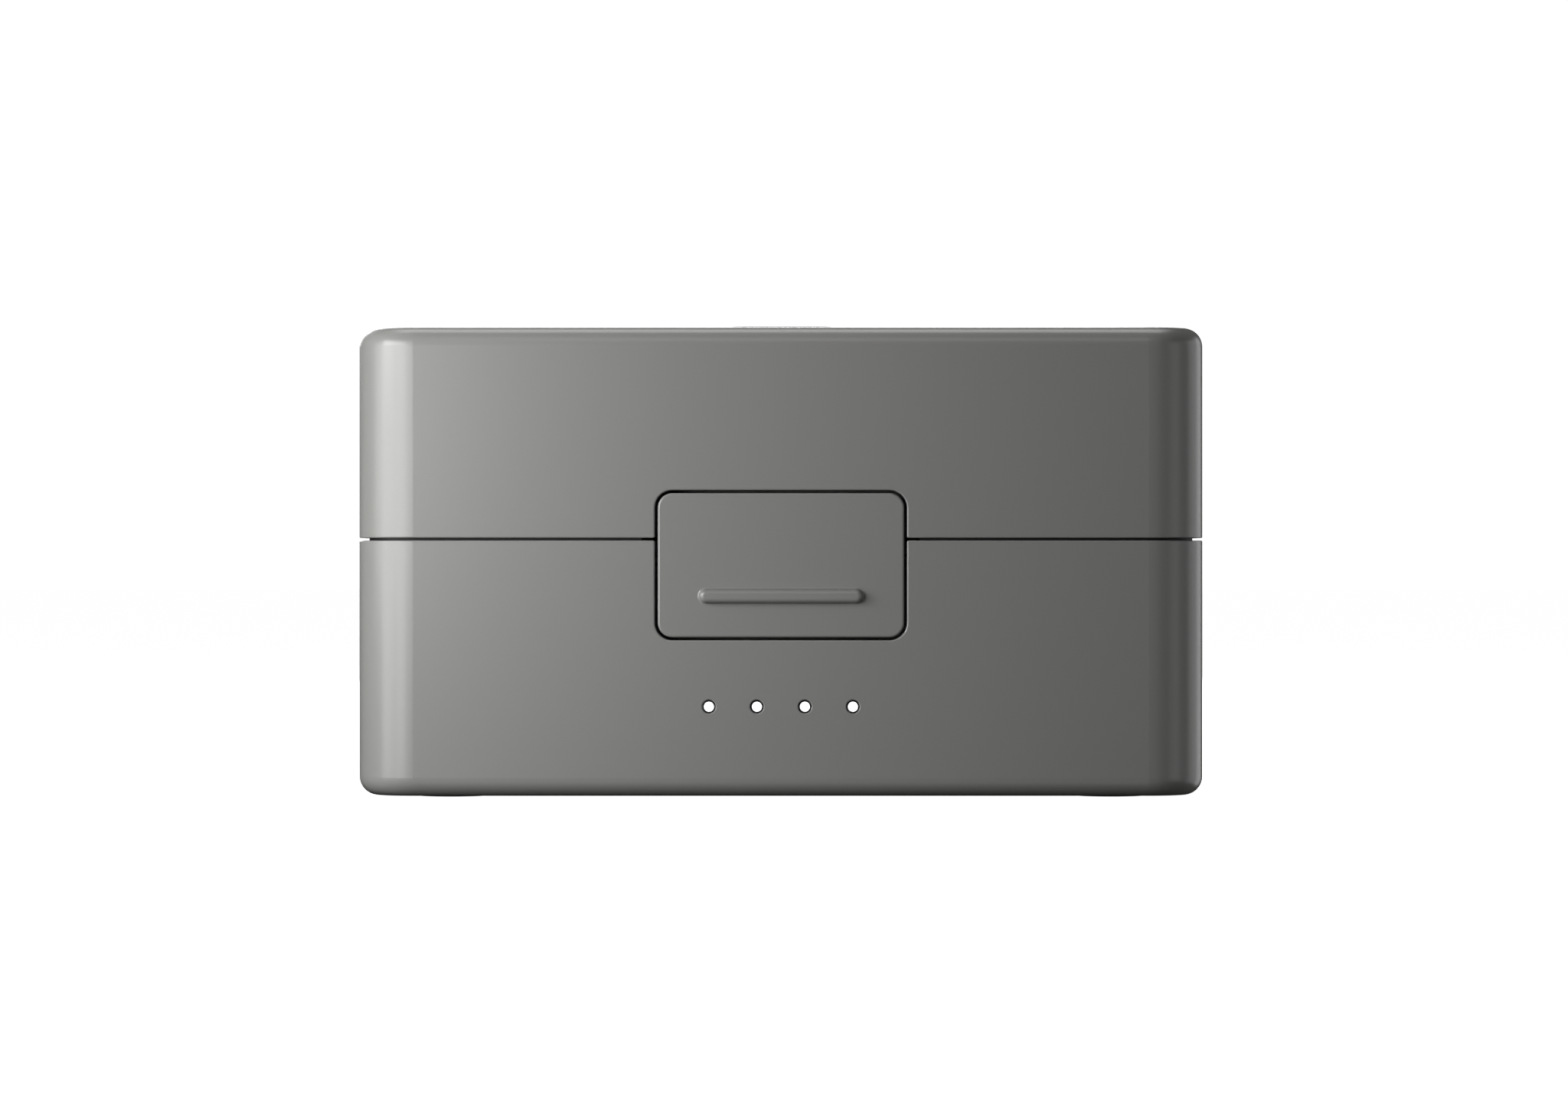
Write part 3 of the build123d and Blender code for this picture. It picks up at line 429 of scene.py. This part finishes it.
NODE_FINISHES = {
    "satin painted polycarbonate": ["base_shell", "lid_shell", "latch_panel", "lid_badge"],
    "spark eroded ABS": ["base_tray", "lid_liner"],
    "zinc plated steel": ["base_screws", "circuit_board_screws", "lid_liner_screws", "keeper_screws"],
    "ground steel": ["hinge_pin"],
    "black oxide steel": ["latch_pin"],
    "stamped stainless": ["keeper_plate", "usb_socket_shell"],
    "solder masked glass epoxy": ["main_circuit_board", "cell_protection_board"],
    "epoxy moulding compound": ["charge_controller_chip", "microcontroller_chip"],
    "pressed ferrite": ["power_inductors"],
    "fired ceramic": ["capacitors"],
    "lit acrylic": ["light_pipe_strip"],
    "phosphor silicone": ["status_leds"],
    "liquid crystal polymer": ["usb_socket_tongue", *(f"contact_block_{bay}" for bay in BAYS)],
    "gold plated brass": [f"contact_{part}_{bay}" for part in ("barrels", "pins") for bay in BAYS],
    "natural nylon": ["cell_plug", "cell_socket"],
    "laminated foil": ["lithium_cell"],
    "acrylic foam tape": ["cell_tape"],
    "red PVC": ["cell_lead_positive"],
    "black PVC": ["cell_lead_negative"],
    "drawn spring wire": ["latch_springs", *(f"contact_springs_{bay}" for bay in BAYS)],
    "moulded silicone rubber": [f"foot_{place}" for place in FEET],
    "die cut EVA foam": [f"lid_pad_{bay}" for bay in BAYS],
}
for finish, nodes in NODE_FINISHES.items():
    for node in nodes:
        slots = frame["nodes"][node].data.materials
        slots.clear()
        slots.append(finishes[finish])


# Pieces


def piece(name, mesh, finish, body, smooth=math.radians(35)):
    """Puts a mesh in the scene as a piece that rides on a body."""
    made = bpy.data.objects.new(name, mesh)
    bpy.context.scene.collection.objects.link(made)
    mesh.materials.clear()
    mesh.materials.append(finishes[finish])
    mesh.shade_smooth()
    mesh.set_sharp_from_angle(angle=smooth)
    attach(made, body)
    return made


def finished_mesh(name, shape):
    """A mesh from a bmesh whose faces are first turned outward."""
    bmesh.ops.recalc_face_normals(shape, faces=shape.faces)
    mesh = bpy.data.meshes.new(name)
    shape.to_mesh(mesh)
    shape.free()
    return mesh


def turned(name, profile, centre):
    """A mesh turned about the upright line through centre, from (radius, height) points that end on it."""
    shape = bmesh.new()
    points = [shape.verts.new((r, 0, z)) for r, z in profile]
    edges = [shape.edges.new(pair) for pair in zip(points, points[1:])]
    axis = {"cent": (0, 0, 0), "axis": (0, 0, 1), "angle": math.tau, "steps": 72}
    bmesh.ops.spin(shape, geom=points + edges, use_duplicate=False, **axis)
    bmesh.ops.remove_doubles(shape, verts=shape.verts, dist=0.001 * MM)
    bmesh.ops.dissolve_degenerate(shape, edges=shape.edges, dist=0.0001 * MM)
    bmesh.ops.translate(shape, verts=shape.verts, vec=centre)
    return finished_mesh(name, shape)


FOOT_RING = 0.8 * MM  # from one moulded ring to the next
FOOT_RING_DEPTH = 0.1 * MM
FOOT_EDGE = 0.2 * MM  # radius of the rounded rim


def make_foot(place):
    """A silicone foot whose underside has fine moulded rings, so that it grips."""
    node = f"foot_{place}"
    low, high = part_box(node)
    radius, top = (high.x - low.x) / 2, high.z - low.z
    flat = radius - 2 * FOOT_EDGE
    ring_steps, edge_steps = 60, 8
    profile = []
    for i in range(ring_steps + 1):
        r = flat * i / ring_steps
        profile.append((r, FOOT_RING_DEPTH / 2 * (1 - math.cos(math.tau * (flat - r) / FOOT_RING))))
    for i in range(1, edge_steps + 1):
        turn = QUARTER * i / edge_steps
        inward, up = FOOT_EDGE - FOOT_EDGE * math.sin(turn), FOOT_EDGE - FOOT_EDGE * math.cos(turn)
        profile.append((radius - inward, up))
    profile += [(radius, top), (0, top)]
    mesh = turned(node, profile, ((low.x + high.x) / 2, (low.y + high.y) / 2, low.z))
    foot = piece(f"silicone_foot_{place}", mesh, "moulded silicone rubber", "base")
    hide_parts(node)


PAD_CORNER = 2 * MM  # radius of the pad's corners, seen from above
PAD_CORNER_STEPS = 12
PAD_RINGS = 14  # rings of faces from the pad's side to the middle of its crown


def pad_outline(half):
    """The rounded rectangle of a pad about its middle, from half its size, with each corner as an arc."""
    outline = []
    for across, ahead, quarters in ((1, 1, 0), (-1, 1, 1), (-1, -1, 2), (1, -1, 3)):
        for i in range(PAD_CORNER_STEPS + 1):
            turn = QUARTER * (quarters + i / PAD_CORNER_STEPS)
            x = across * (half.x - PAD_CORNER) + PAD_CORNER * math.cos(turn)
            y = ahead * (half.y - PAD_CORNER) + PAD_CORNER * math.sin(turn)
            outline.append((x, y))
    return outline


def pad_levels():
    """A pad's loops of vertices as (share of the outline, share of the thickness below the glued face)."""
    levels = [(0.985, 0.0), (1.0, 0.2)]
    for ring in range(PAD_RINGS):
        share = ring / PAD_RINGS
        sag = math.sqrt(1 - (1 - min(share * 3, 1)) ** 2)
        levels.append(((1 - share) ** 1.6, 0.35 + 0.5 * sag + 0.15 * share))
    return levels


def make_pad(bay):
    """A die-cut foam pad, glued flat above and softly crowned below, with its cut sides drawn in a little."""
    node = f"lid_pad_{bay}"
    low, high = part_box(node)
    middle, size = (low + high) / 2, high - low
    outline = pad_outline(size / 2)
    shape = bmesh.new()
    loops = []
    for spread, fall in pad_levels():
        z = high.z - size.z * fall
        points = [(middle.x + x * spread, middle.y + y * spread, z) for x, y in outline]
        loops.append([shape.verts.new(point) for point in points])
    count = len(outline)
    for outer, inner in zip(loops, loops[1:]):
        for i in range(count):
            shape.faces.new((outer[i], outer[(i + 1) % count], inner[(i + 1) % count], inner[i]))
    crown = shape.verts.new((middle.x, middle.y, low.z))
    for i in range(count):
        shape.faces.new((loops[-1][i], loops[-1][(i + 1) % count], crown))
    shape.faces.new(loops[0])
    mesh = finished_mesh(node, shape)
    pad = piece(f"foam_pad_{bay}", mesh, "die cut EVA foam", "lid", math.radians(50))
    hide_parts(node)


for place in FEET:
    make_foot(place)
for bay in BAYS:
    make_pad(bay)


# Pieces grown by Geometry Nodes


def growth(name, inputs, build):
    """A Geometry Nodes tree with named inputs, whose shape comes from build(tree, given)."""
    tree = bpy.data.node_groups.new(name, "GeometryNodeTree")
    tree.interface.new_socket("Geometry", in_out="OUTPUT", socket_type="NodeSocketGeometry")
    for label, kind in {**inputs, "Finish": "NodeSocketMaterial"}.items():
        tree.interface.new_socket(label, in_out="INPUT", socket_type=kind)
    given = add(tree, "NodeGroupInput").outputs
    real = add(tree, "GeometryNodeRealizeInstances", {"Geometry": build(tree, given)}).outputs[0]
    done = add(tree, "GeometryNodeSetMaterial", {"Geometry": real, "Material": given["Finish"]}).outputs[0]
    add(tree, "NodeGroupOutput", {"Geometry": done})
    return tree


def grown(name, tree, sizes, finish, body):
    """Runs a tree with the given sizes and keeps the result as a plain mesh piece."""
    holder = bpy.data.objects.new(name, bpy.data.meshes.new(name))
    bpy.context.scene.collection.objects.link(holder)
    modifier = holder.modifiers.new(name, "NODES")
    modifier.node_group = tree
    values = {**sizes, "Finish": finishes[finish]}
    for item in tree.interface.items_tree:
        if item.in_out == "INPUT":
            modifier[item.identifier] = values[item.name]
    bpy.context.view_layer.update()
    graph = bpy.context.evaluated_depsgraph_get()
    mesh = bpy.data.meshes.new_from_object(holder.evaluated_get(graph), depsgraph=graph)
    bpy.data.objects.remove(holder)
    return piece(name, mesh, finish, body)


def coiled_wire(tree, given):
    """A compression spring along Z from the origin. Its rise is three parts smooth ramp, which winds the end
    turns close, to one part steady climb."""
    radius = {"Start Radius": given["Radius"], "End Radius": given["Radius"]}
    inputs = {"Resolution": 24, "Rotations": given["Turns"], "Height": 1.0, **radius}
    spiral = add(tree, "GeometryNodeCurveSpiral", inputs).outputs[0]
    along = add(tree, "GeometryNodeSplineParameter").outputs["Factor"]
    inputs = {"Value": along, "From Min": 0.12, "From Max": 0.88}
    ramp = add(tree, "ShaderNodeMapRange", inputs, interpolation_type="SMOOTHSTEP").outputs["Result"]
    steady = add(tree, "ShaderNodeMath", {0: along, 1: 0.25}, operation="MULTIPLY").outputs[0]
    share = add(tree, "ShaderNodeMath", {0: ramp, 1: 0.75, 2: steady}, operation="MULTIPLY_ADD").outputs[0]
    inputs = {0: given["Length"], 1: given["Wire"]}
    room = add(tree, "ShaderNodeMath", inputs, operation="SUBTRACT").outputs[0]
    half = add(tree, "ShaderNodeMath", {0: given["Wire"], 1: 0.5}, operation="MULTIPLY").outputs[0]
    height = add(tree, "ShaderNodeMath", {0: share, 1: room, 2: half}, operation="MULTIPLY_ADD").outputs[0]
    at = add(tree, "ShaderNodeSeparateXYZ", {0: add(tree, "GeometryNodeInputPosition").outputs[0]}).outputs
    moved = add(tree, "ShaderNodeCombineXYZ", {"X": at["X"], "Y": at["Y"], "Z": height}).outputs[0]
    shaped = add(tree, "GeometryNodeSetPosition", {"Geometry": spiral, "Position": moved}).outputs[0]
    ring = add(tree, "GeometryNodeCurvePrimitiveCircle", {"Resolution": 10, "Radius": half}).outputs[0]
    inputs = {"Curve": shaped, "Profile Curve": ring, "Fill Caps": True}
    return add(tree, "GeometryNodeCurveToMesh", inputs).outputs[0]


def spring_row(tree, given):
    """Coiled springs that stand side by side along X, turned to lie along the given direction."""
    wire = coiled_wire(tree, given)
    inputs = {"Count": given["Count"], "Start Location": given["Start"], "Offset": given["Step"]}
    line = add(tree, "GeometryNodeMeshLine", inputs, mode="OFFSET").outputs[0]
    inputs = {"Points": line, "Instance": wire, "Rotation": given["Turn"]}
    return add(tree, "GeometryNodeInstanceOnPoints", inputs).outputs[0]


SPRING_SIZES = {
    "Radius": "NodeSocketFloat",
    "Wire": "NodeSocketFloat",
    "Length": "NodeSocketFloat",
    "Turns": "NodeSocketFloat",
    "Count": "NodeSocketInt",
    "Start": "NodeSocketVector",
    "Step": "NodeSocketVector",
    "Turn": "NodeSocketRotation",
}
spring_tree = growth("row of coil springs", SPRING_SIZES, spring_row)


def make_springs(name, node, joint, travel, axis, wire, turns, count):
    """Springs that stand for a CAD node and lie along axis. The joint and the travel are not used."""
    low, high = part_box(node)
    size = high - low
    along = {"Y": 1, "Z": 2}[axis]
    across = size[3 - along]
    start = (low + high) / 2
    start.x = low.x + across / 2
    start[along] = low[along]
    sizes = {
        "Radius": (across - wire) / 2,
        "Wire": wire,
        "Length": size[along],
        "Turns": turns,
        "Count": count,
        "Start": start,
        "Step": ((size.x - across) / (count - 1), 0, 0),
        "Turn": (-QUARTER if axis == "Y" else 0.0, 0, 0),
    }
    springs = grown(name, spring_tree, sizes, "drawn spring wire", "base")
    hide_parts(node)
    # The springs' end at the back of the latch's housing, and at the barrels' floors for the pins' springs.
    # Nothing uses it.
    anchor = start.copy()
    anchor[along] = high[along] if axis == "Y" else low[along]
    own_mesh(springs)


LATCH_TRAVEL = 0.79 * MM  # of the latch at its springs, over its 6 degrees
PIN_TRAVEL = 1.2 * MM
names = ("latch_coil_springs", "latch_springs", "latch_press")
make_springs(*names, LATCH_TRAVEL, axis="Y", wire=0.35 * MM, turns=4.5, count=2)
for bay in BAYS:
    names = (f"pin_springs_{bay}", f"contact_springs_{bay}", f"contact_slide_{bay}")
    make_springs(*names, PIN_TRAVEL, axis="Z", wire=0.16 * MM, turns=5.5, count=4)


def rounded_bars(tree, given):
    """A row of bars with rounded ends, which lie along Z until they are turned."""
    inputs = {"Segments": 12, "Rings": 9, "Radius": given["Radius"]}
    ball = add(tree, "GeometryNodeMeshUVSphere", inputs).outputs[0]
    place = add(tree, "GeometryNodeInputPosition").outputs[0]
    height = add(tree, "ShaderNodeSeparateXYZ", {0: place}).outputs["Z"]
    side = add(tree, "ShaderNodeMath", {0: height}, operation="SIGN").outputs[0]
    half = add(tree, "ShaderNodeMath", {0: given["Length"], 1: 0.5}, operation="MULTIPLY").outputs[0]
    reach = add(tree, "ShaderNodeMath", {0: half, 1: given["Radius"]}, operation="SUBTRACT").outputs[0]
    shift = add(tree, "ShaderNodeMath", {0: side, 1: reach}, operation="MULTIPLY").outputs[0]
    offset = add(tree, "ShaderNodeCombineXYZ", {"Z": shift}).outputs[0]
    bar = add(tree, "GeometryNodeSetPosition", {"Geometry": ball, "Offset": offset}).outputs[0]
    flat = add(tree, "GeometryNodeTransform", {"Geometry": bar, "Scale": given["Flatness"]}).outputs[0]
    inputs = {"Count": given["Count"], "Start Location": given["Start"], "Offset": given["Step"]}
    line = add(tree, "GeometryNodeMeshLine", inputs, mode="OFFSET").outputs[0]
    inputs = {"Points": line, "Instance": flat, "Rotation": given["Turn"]}
    return add(tree, "GeometryNodeInstanceOnPoints", inputs).outputs[0]


BAR_SIZES = {
    "Radius": "NodeSocketFloat",
    "Length": "NodeSocketFloat",
    "Flatness": "NodeSocketVector",
    "Count": "NodeSocketInt",
    "Start": "NodeSocketVector",
    "Step": "NodeSocketVector",
    "Turn": "NodeSocketRotation",
}
bar_tree = growth("row of rounded bars", BAR_SIZES, rounded_bars)


def bars(name, radius, length, count, start, step, finish, slot, flatness=(1, 1, 1), turn=(0, 0, 0)):
    """A row of bars on the base. Each lies along Z while flatness scales it, and is turned after that."""
    given = (radius, length, flatness, count, start, step, turn)
    return grown(name, bar_tree, dict(zip(BAR_SIZES, given)), finish, "base")


AHEAD, ACROSS = (QUARTER, 0, 0), (0, QUARTER, 0)  # turns that lay a bar along Y or along X

BATTERY_CLEARANCE = 0.25 * MM  # from a battery's room to the bay's walls
DECK_DROP = 2.02 * MM  # from the top of the tray's locating lip to its deck
GUIDE_RIBS = 4  # on each long wall of a bay
GUIDE_RIB_RADIUS = 0.4 * MM
GUIDE_RIB_PROUD = 0.15 * MM  # of the wall
GUIDE_RIB_ROOT = 0.6 * MM  # below the battery's room
GUIDE_RIB_LEAD = 1.6 * MM  # from the deck down to the top of the ribs
MARK_LENGTH = 2.0 * MM
MARK_RADIUS = 0.22 * MM
MARK_ASIDE = 5 * MM  # from the middle of a bay
MARK_AHEAD = 2.6 * MM  # from a battery's room
STRIPS = 12  # on each side of the tongue
STRIP_PITCH = 0.5 * MM
STRIP_WIDTH = 0.26 * MM
STRIP_SHARE = 0.72  # of the tongue's length
STRIP_SETBACK = 0.5 * MM  # from the tongue's tip

openings = frame["record"]["physics"]["openings"]
rooms = {room["name"]: [Vector(corner) for corner in room["box_m"]] for room in openings}
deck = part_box("base_tray")[1].z - DECK_DROP


def make_guide_ribs(bay):
    """Low half-round ribs on each long wall of a bay, which keep a battery from rattling."""
    low, high = rooms[f"battery_bay_{bay}"]
    bottom, top = low.z - GUIDE_RIB_ROOT, deck - GUIDE_RIB_LEAD
    pitch = (high.x - low.x) / GUIDE_RIBS
    row = (GUIDE_RIB_RADIUS, top - bottom, GUIDE_RIBS)
    front, rear = low.y - BATTERY_CLEARANCE, high.y + BATTERY_CLEARANCE
    for side, wall, inward in (("front", front, 1), ("rear", rear, -1)):
        y = wall - inward * (GUIDE_RIB_RADIUS - GUIDE_RIB_PROUD)
        start = (low.x + pitch / 2, y, (bottom + top) / 2)
        name = f"guide_ribs_{bay}_{side}"
        bars(name, *row, start, (pitch, 0, 0), "spark eroded ABS", "inner_moulding")


def make_polarity_marks():
    """A printed plus and minus on the deck in front of each bay. The plus's two bars differ in height, so
    that their tops don't coincide where they cross."""
    centres = [sum(corner.x for corner in rooms[f"battery_bay_{bay}"]) / 2 for bay in BAYS]
    step = (centres[1] - centres[0], 0, 0)
    y = rooms["battery_bay_left"][0].y - MARK_AHEAD
    row = (MARK_RADIUS, MARK_LENGTH, len(BAYS))
    for name, aside, turn, flatness in (
        ("plus_bars_across", -MARK_ASIDE, ACROSS, (0.10, 1, 1)),
        ("plus_bars_ahead", -MARK_ASIDE, AHEAD, (1, 0.12, 1)),
        ("minus_bars", MARK_ASIDE, ACROSS, (0.10, 1, 1)),
    ):
        start = (centres[0] + aside, y, deck)
        bars(name, *row, start, step, "pad printed ink", "inner_moulding", flatness, turn)


def make_tongue_strips():
    """Gold contact strips above and below the charging socket's tongue."""
    low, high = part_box("usb_socket_tongue")
    length = (high.y - low.y) * STRIP_SHARE
    x = (low.x + high.x) / 2 - (STRIPS - 1) / 2 * STRIP_PITCH
    y = high.y - length / 2 - STRIP_SETBACK
    row = (STRIP_WIDTH / 2, length, STRIPS)
    step = (STRIP_PITCH, 0, 0)
    for side, z in (("above", high.z), ("below", low.z)):
        name = f"tongue_strips_{side}"
        bars(name, *row, (x, y, z), step, "gold plated brass", "contact_gold", (1, 0.3, 1), AHEAD)


for bay in BAYS:
    make_guide_ribs(bay)
make_polarity_marks()
make_tongue_strips()


# Studio


AIM = Vector((0, 0, 0.03))  # the middle of the case, which every softbox faces


def softbox(name, place, size, power):
    """A rectangular area light that faces the case and doesn't show itself to the camera."""
    light = bpy.data.lights.new(name, "AREA")
    light.shape = "RECTANGLE"
    light.size, light.size_y = size
    light.energy = power
    lamp = bpy.data.objects.new(name, light)
    bpy.context.scene.collection.objects.link(lamp)
    lamp.location = place
    lamp.rotation_euler = (AIM - Vector(place)).to_track_quat("-Z", "Y").to_euler()
    lamp.visible_camera = False


def stage_mesh(name, mesh, colour, glow):
    """A part of the studio that only the camera sees, so that it lights nothing and hides nothing. Its own
    glow makes it look lit."""
    made = bpy.data.objects.new(name, mesh)
    bpy.context.scene.collection.objects.link(made)
    paper = bpy.data.materials.new(name)
    paper.use_nodes = True
    shader = paper.node_tree.nodes["Principled BSDF"].inputs
    shader["Base Color"].default_value = linear(colour)
    shader["Roughness"].default_value = 0.9
    shader["Emission Color"].default_value = linear("ffffff")
    shader["Emission Strength"].default_value = glow
    mesh.materials.append(paper)
    made.visible_diffuse = made.visible_glossy = made.visible_transmission = made.visible_shadow = False


# Each softbox has its place and size in metres and its power in watts. A bank of small close ones stands round
# the left front, three hang overhead, four tall ones stand down the right side, one lies low in front, and one
# fills the rear.
SOFTBOXES = [
    ("key_1", (-0.085, -0.167, 0.055), (0.06, 0.06), 0.054),
    ("key_2_low", (-0.114, -0.146, 0.020), (0.06, 0.06), 0.059),
    ("key_2_high", (-0.114, -0.146, 0.090), (0.06, 0.06), 0.106),
    ("key_3", (-0.138, -0.120, 0.055), (0.06, 0.06), 0.035),
    ("key_4_low", (-0.155, -0.089, 0.020), (0.06, 0.06), 0.051),
    ("key_4_high", (-0.155, -0.089, 0.090), (0.06, 0.06), 0.131),
    ("key_5", (-0.167, -0.050, 0.055), (0.06, 0.06), 0.039),
    ("top", (0.000, 0.067, 0.522), (0.4, 0.15), 0.750),
    ("top_rear", (0.000, 0.191, 0.483), (0.4, 0.15), 0.380),
    ("top_front", (0.000, -0.480, 0.416), (0.3, 0.2), 0.240),
    ("rim_front", (0.520, -0.320, 0.030), (0.2, 0.4), 0.231),
    ("rim_middle", (0.483, -0.149, 0.030), (0.2, 0.4), 0.110),
    ("rim_rear", (0.483, 0.109, 0.030), (0.2, 0.4), 0.320),
    ("rim_far", (0.383, 0.301, 0.030), (0.2, 0.4), 0.400),
    ("below", (0.000, -0.430, -0.257), (0.3, 0.2), 0.078),
    ("rear_fill", (-0.150, 0.700, 0.250), (0.5, 0.3), 2.600),
]


FLOOR_REACH = 6.0
BACKDROP_RADIUS = 5.7


def studio():
    """A pale floor, a white backdrop all round it, a sky slightly lighter above, and the softboxes."""
    floor = bpy.data.meshes.new("floor")
    signs = ((-1, -1), (1, -1), (1, 1), (-1, 1))
    corners = [(across * FLOOR_REACH, ahead * FLOOR_REACH, 0) for across, ahead in signs]
    floor.from_pydata(corners, [], [(0, 1, 2, 3)])
    stage_mesh("floor", floor, "e8e8e8", 0.97)
    shape = bmesh.new()
    bmesh.ops.create_uvsphere(shape, u_segments=48, v_segments=24, radius=BACKDROP_RADIUS)
    bmesh.ops.reverse_faces(shape, faces=shape.faces)
    dome = bpy.data.meshes.new("backdrop")
    shape.to_mesh(dome)
    shape.free()
    stage_mesh("backdrop", dome, "ffffff", 1.05)
    world = bpy.data.worlds.new("studio")
    bpy.context.scene.world = world
    world.use_nodes = True
    tree = world.node_tree
    tree.nodes.clear()
    direction = add(tree, "ShaderNodeTexCoord").outputs["Generated"]
    up = add(tree, "ShaderNodeSeparateXYZ", {"Vector": direction}).outputs["Z"]
    inputs = {"Value": up, "From Min": -0.35, "From Max": 0.6, "To Min": 0.004, "To Max": 0.03}
    amount = add(tree, "ShaderNodeMapRange", inputs, interpolation_type="SMOOTHSTEP").outputs["Result"]
    sky = add(tree, "ShaderNodeBackground", {"Color": (1, 1, 1, 1), "Strength": amount}).outputs[0]
    add(tree, "ShaderNodeOutputWorld", {"Surface": sky})
    for name, place, size, power in SOFTBOXES:
        softbox(name, place, size, power)


CAMERA_DISTANCE = 0.8  # from the case's front
CAMERA_ASIDE = 0.4 * MM  # right of the case's middle
CAMERA_ABOVE = 0.2 * MM  # above the case's middle


def camera():
    """A long lens, level and square to the front of the case."""
    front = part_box("base_shell")[0].y
    case_low, case_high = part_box("base_shell")[0].z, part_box("lid_shell")[1].z
    view = bpy.data.cameras.new("camera")
    view.sensor_width = 36.0
    view.lens = 142.0
    view.clip_start, view.clip_end = 0.05, 30.0
    made = bpy.data.objects.new("camera", view)
    bpy.context.scene.collection.objects.link(made)
    made.location = (CAMERA_ASIDE, front - CAMERA_DISTANCE, (case_low + case_high) / 2 + CAMERA_ABOVE)
    made.rotation_euler = (QUARTER, 0, 0)
    bpy.context.scene.camera = made


studio()
camera()
bpy.context.scene.view_settings.view_transform = "Standard"
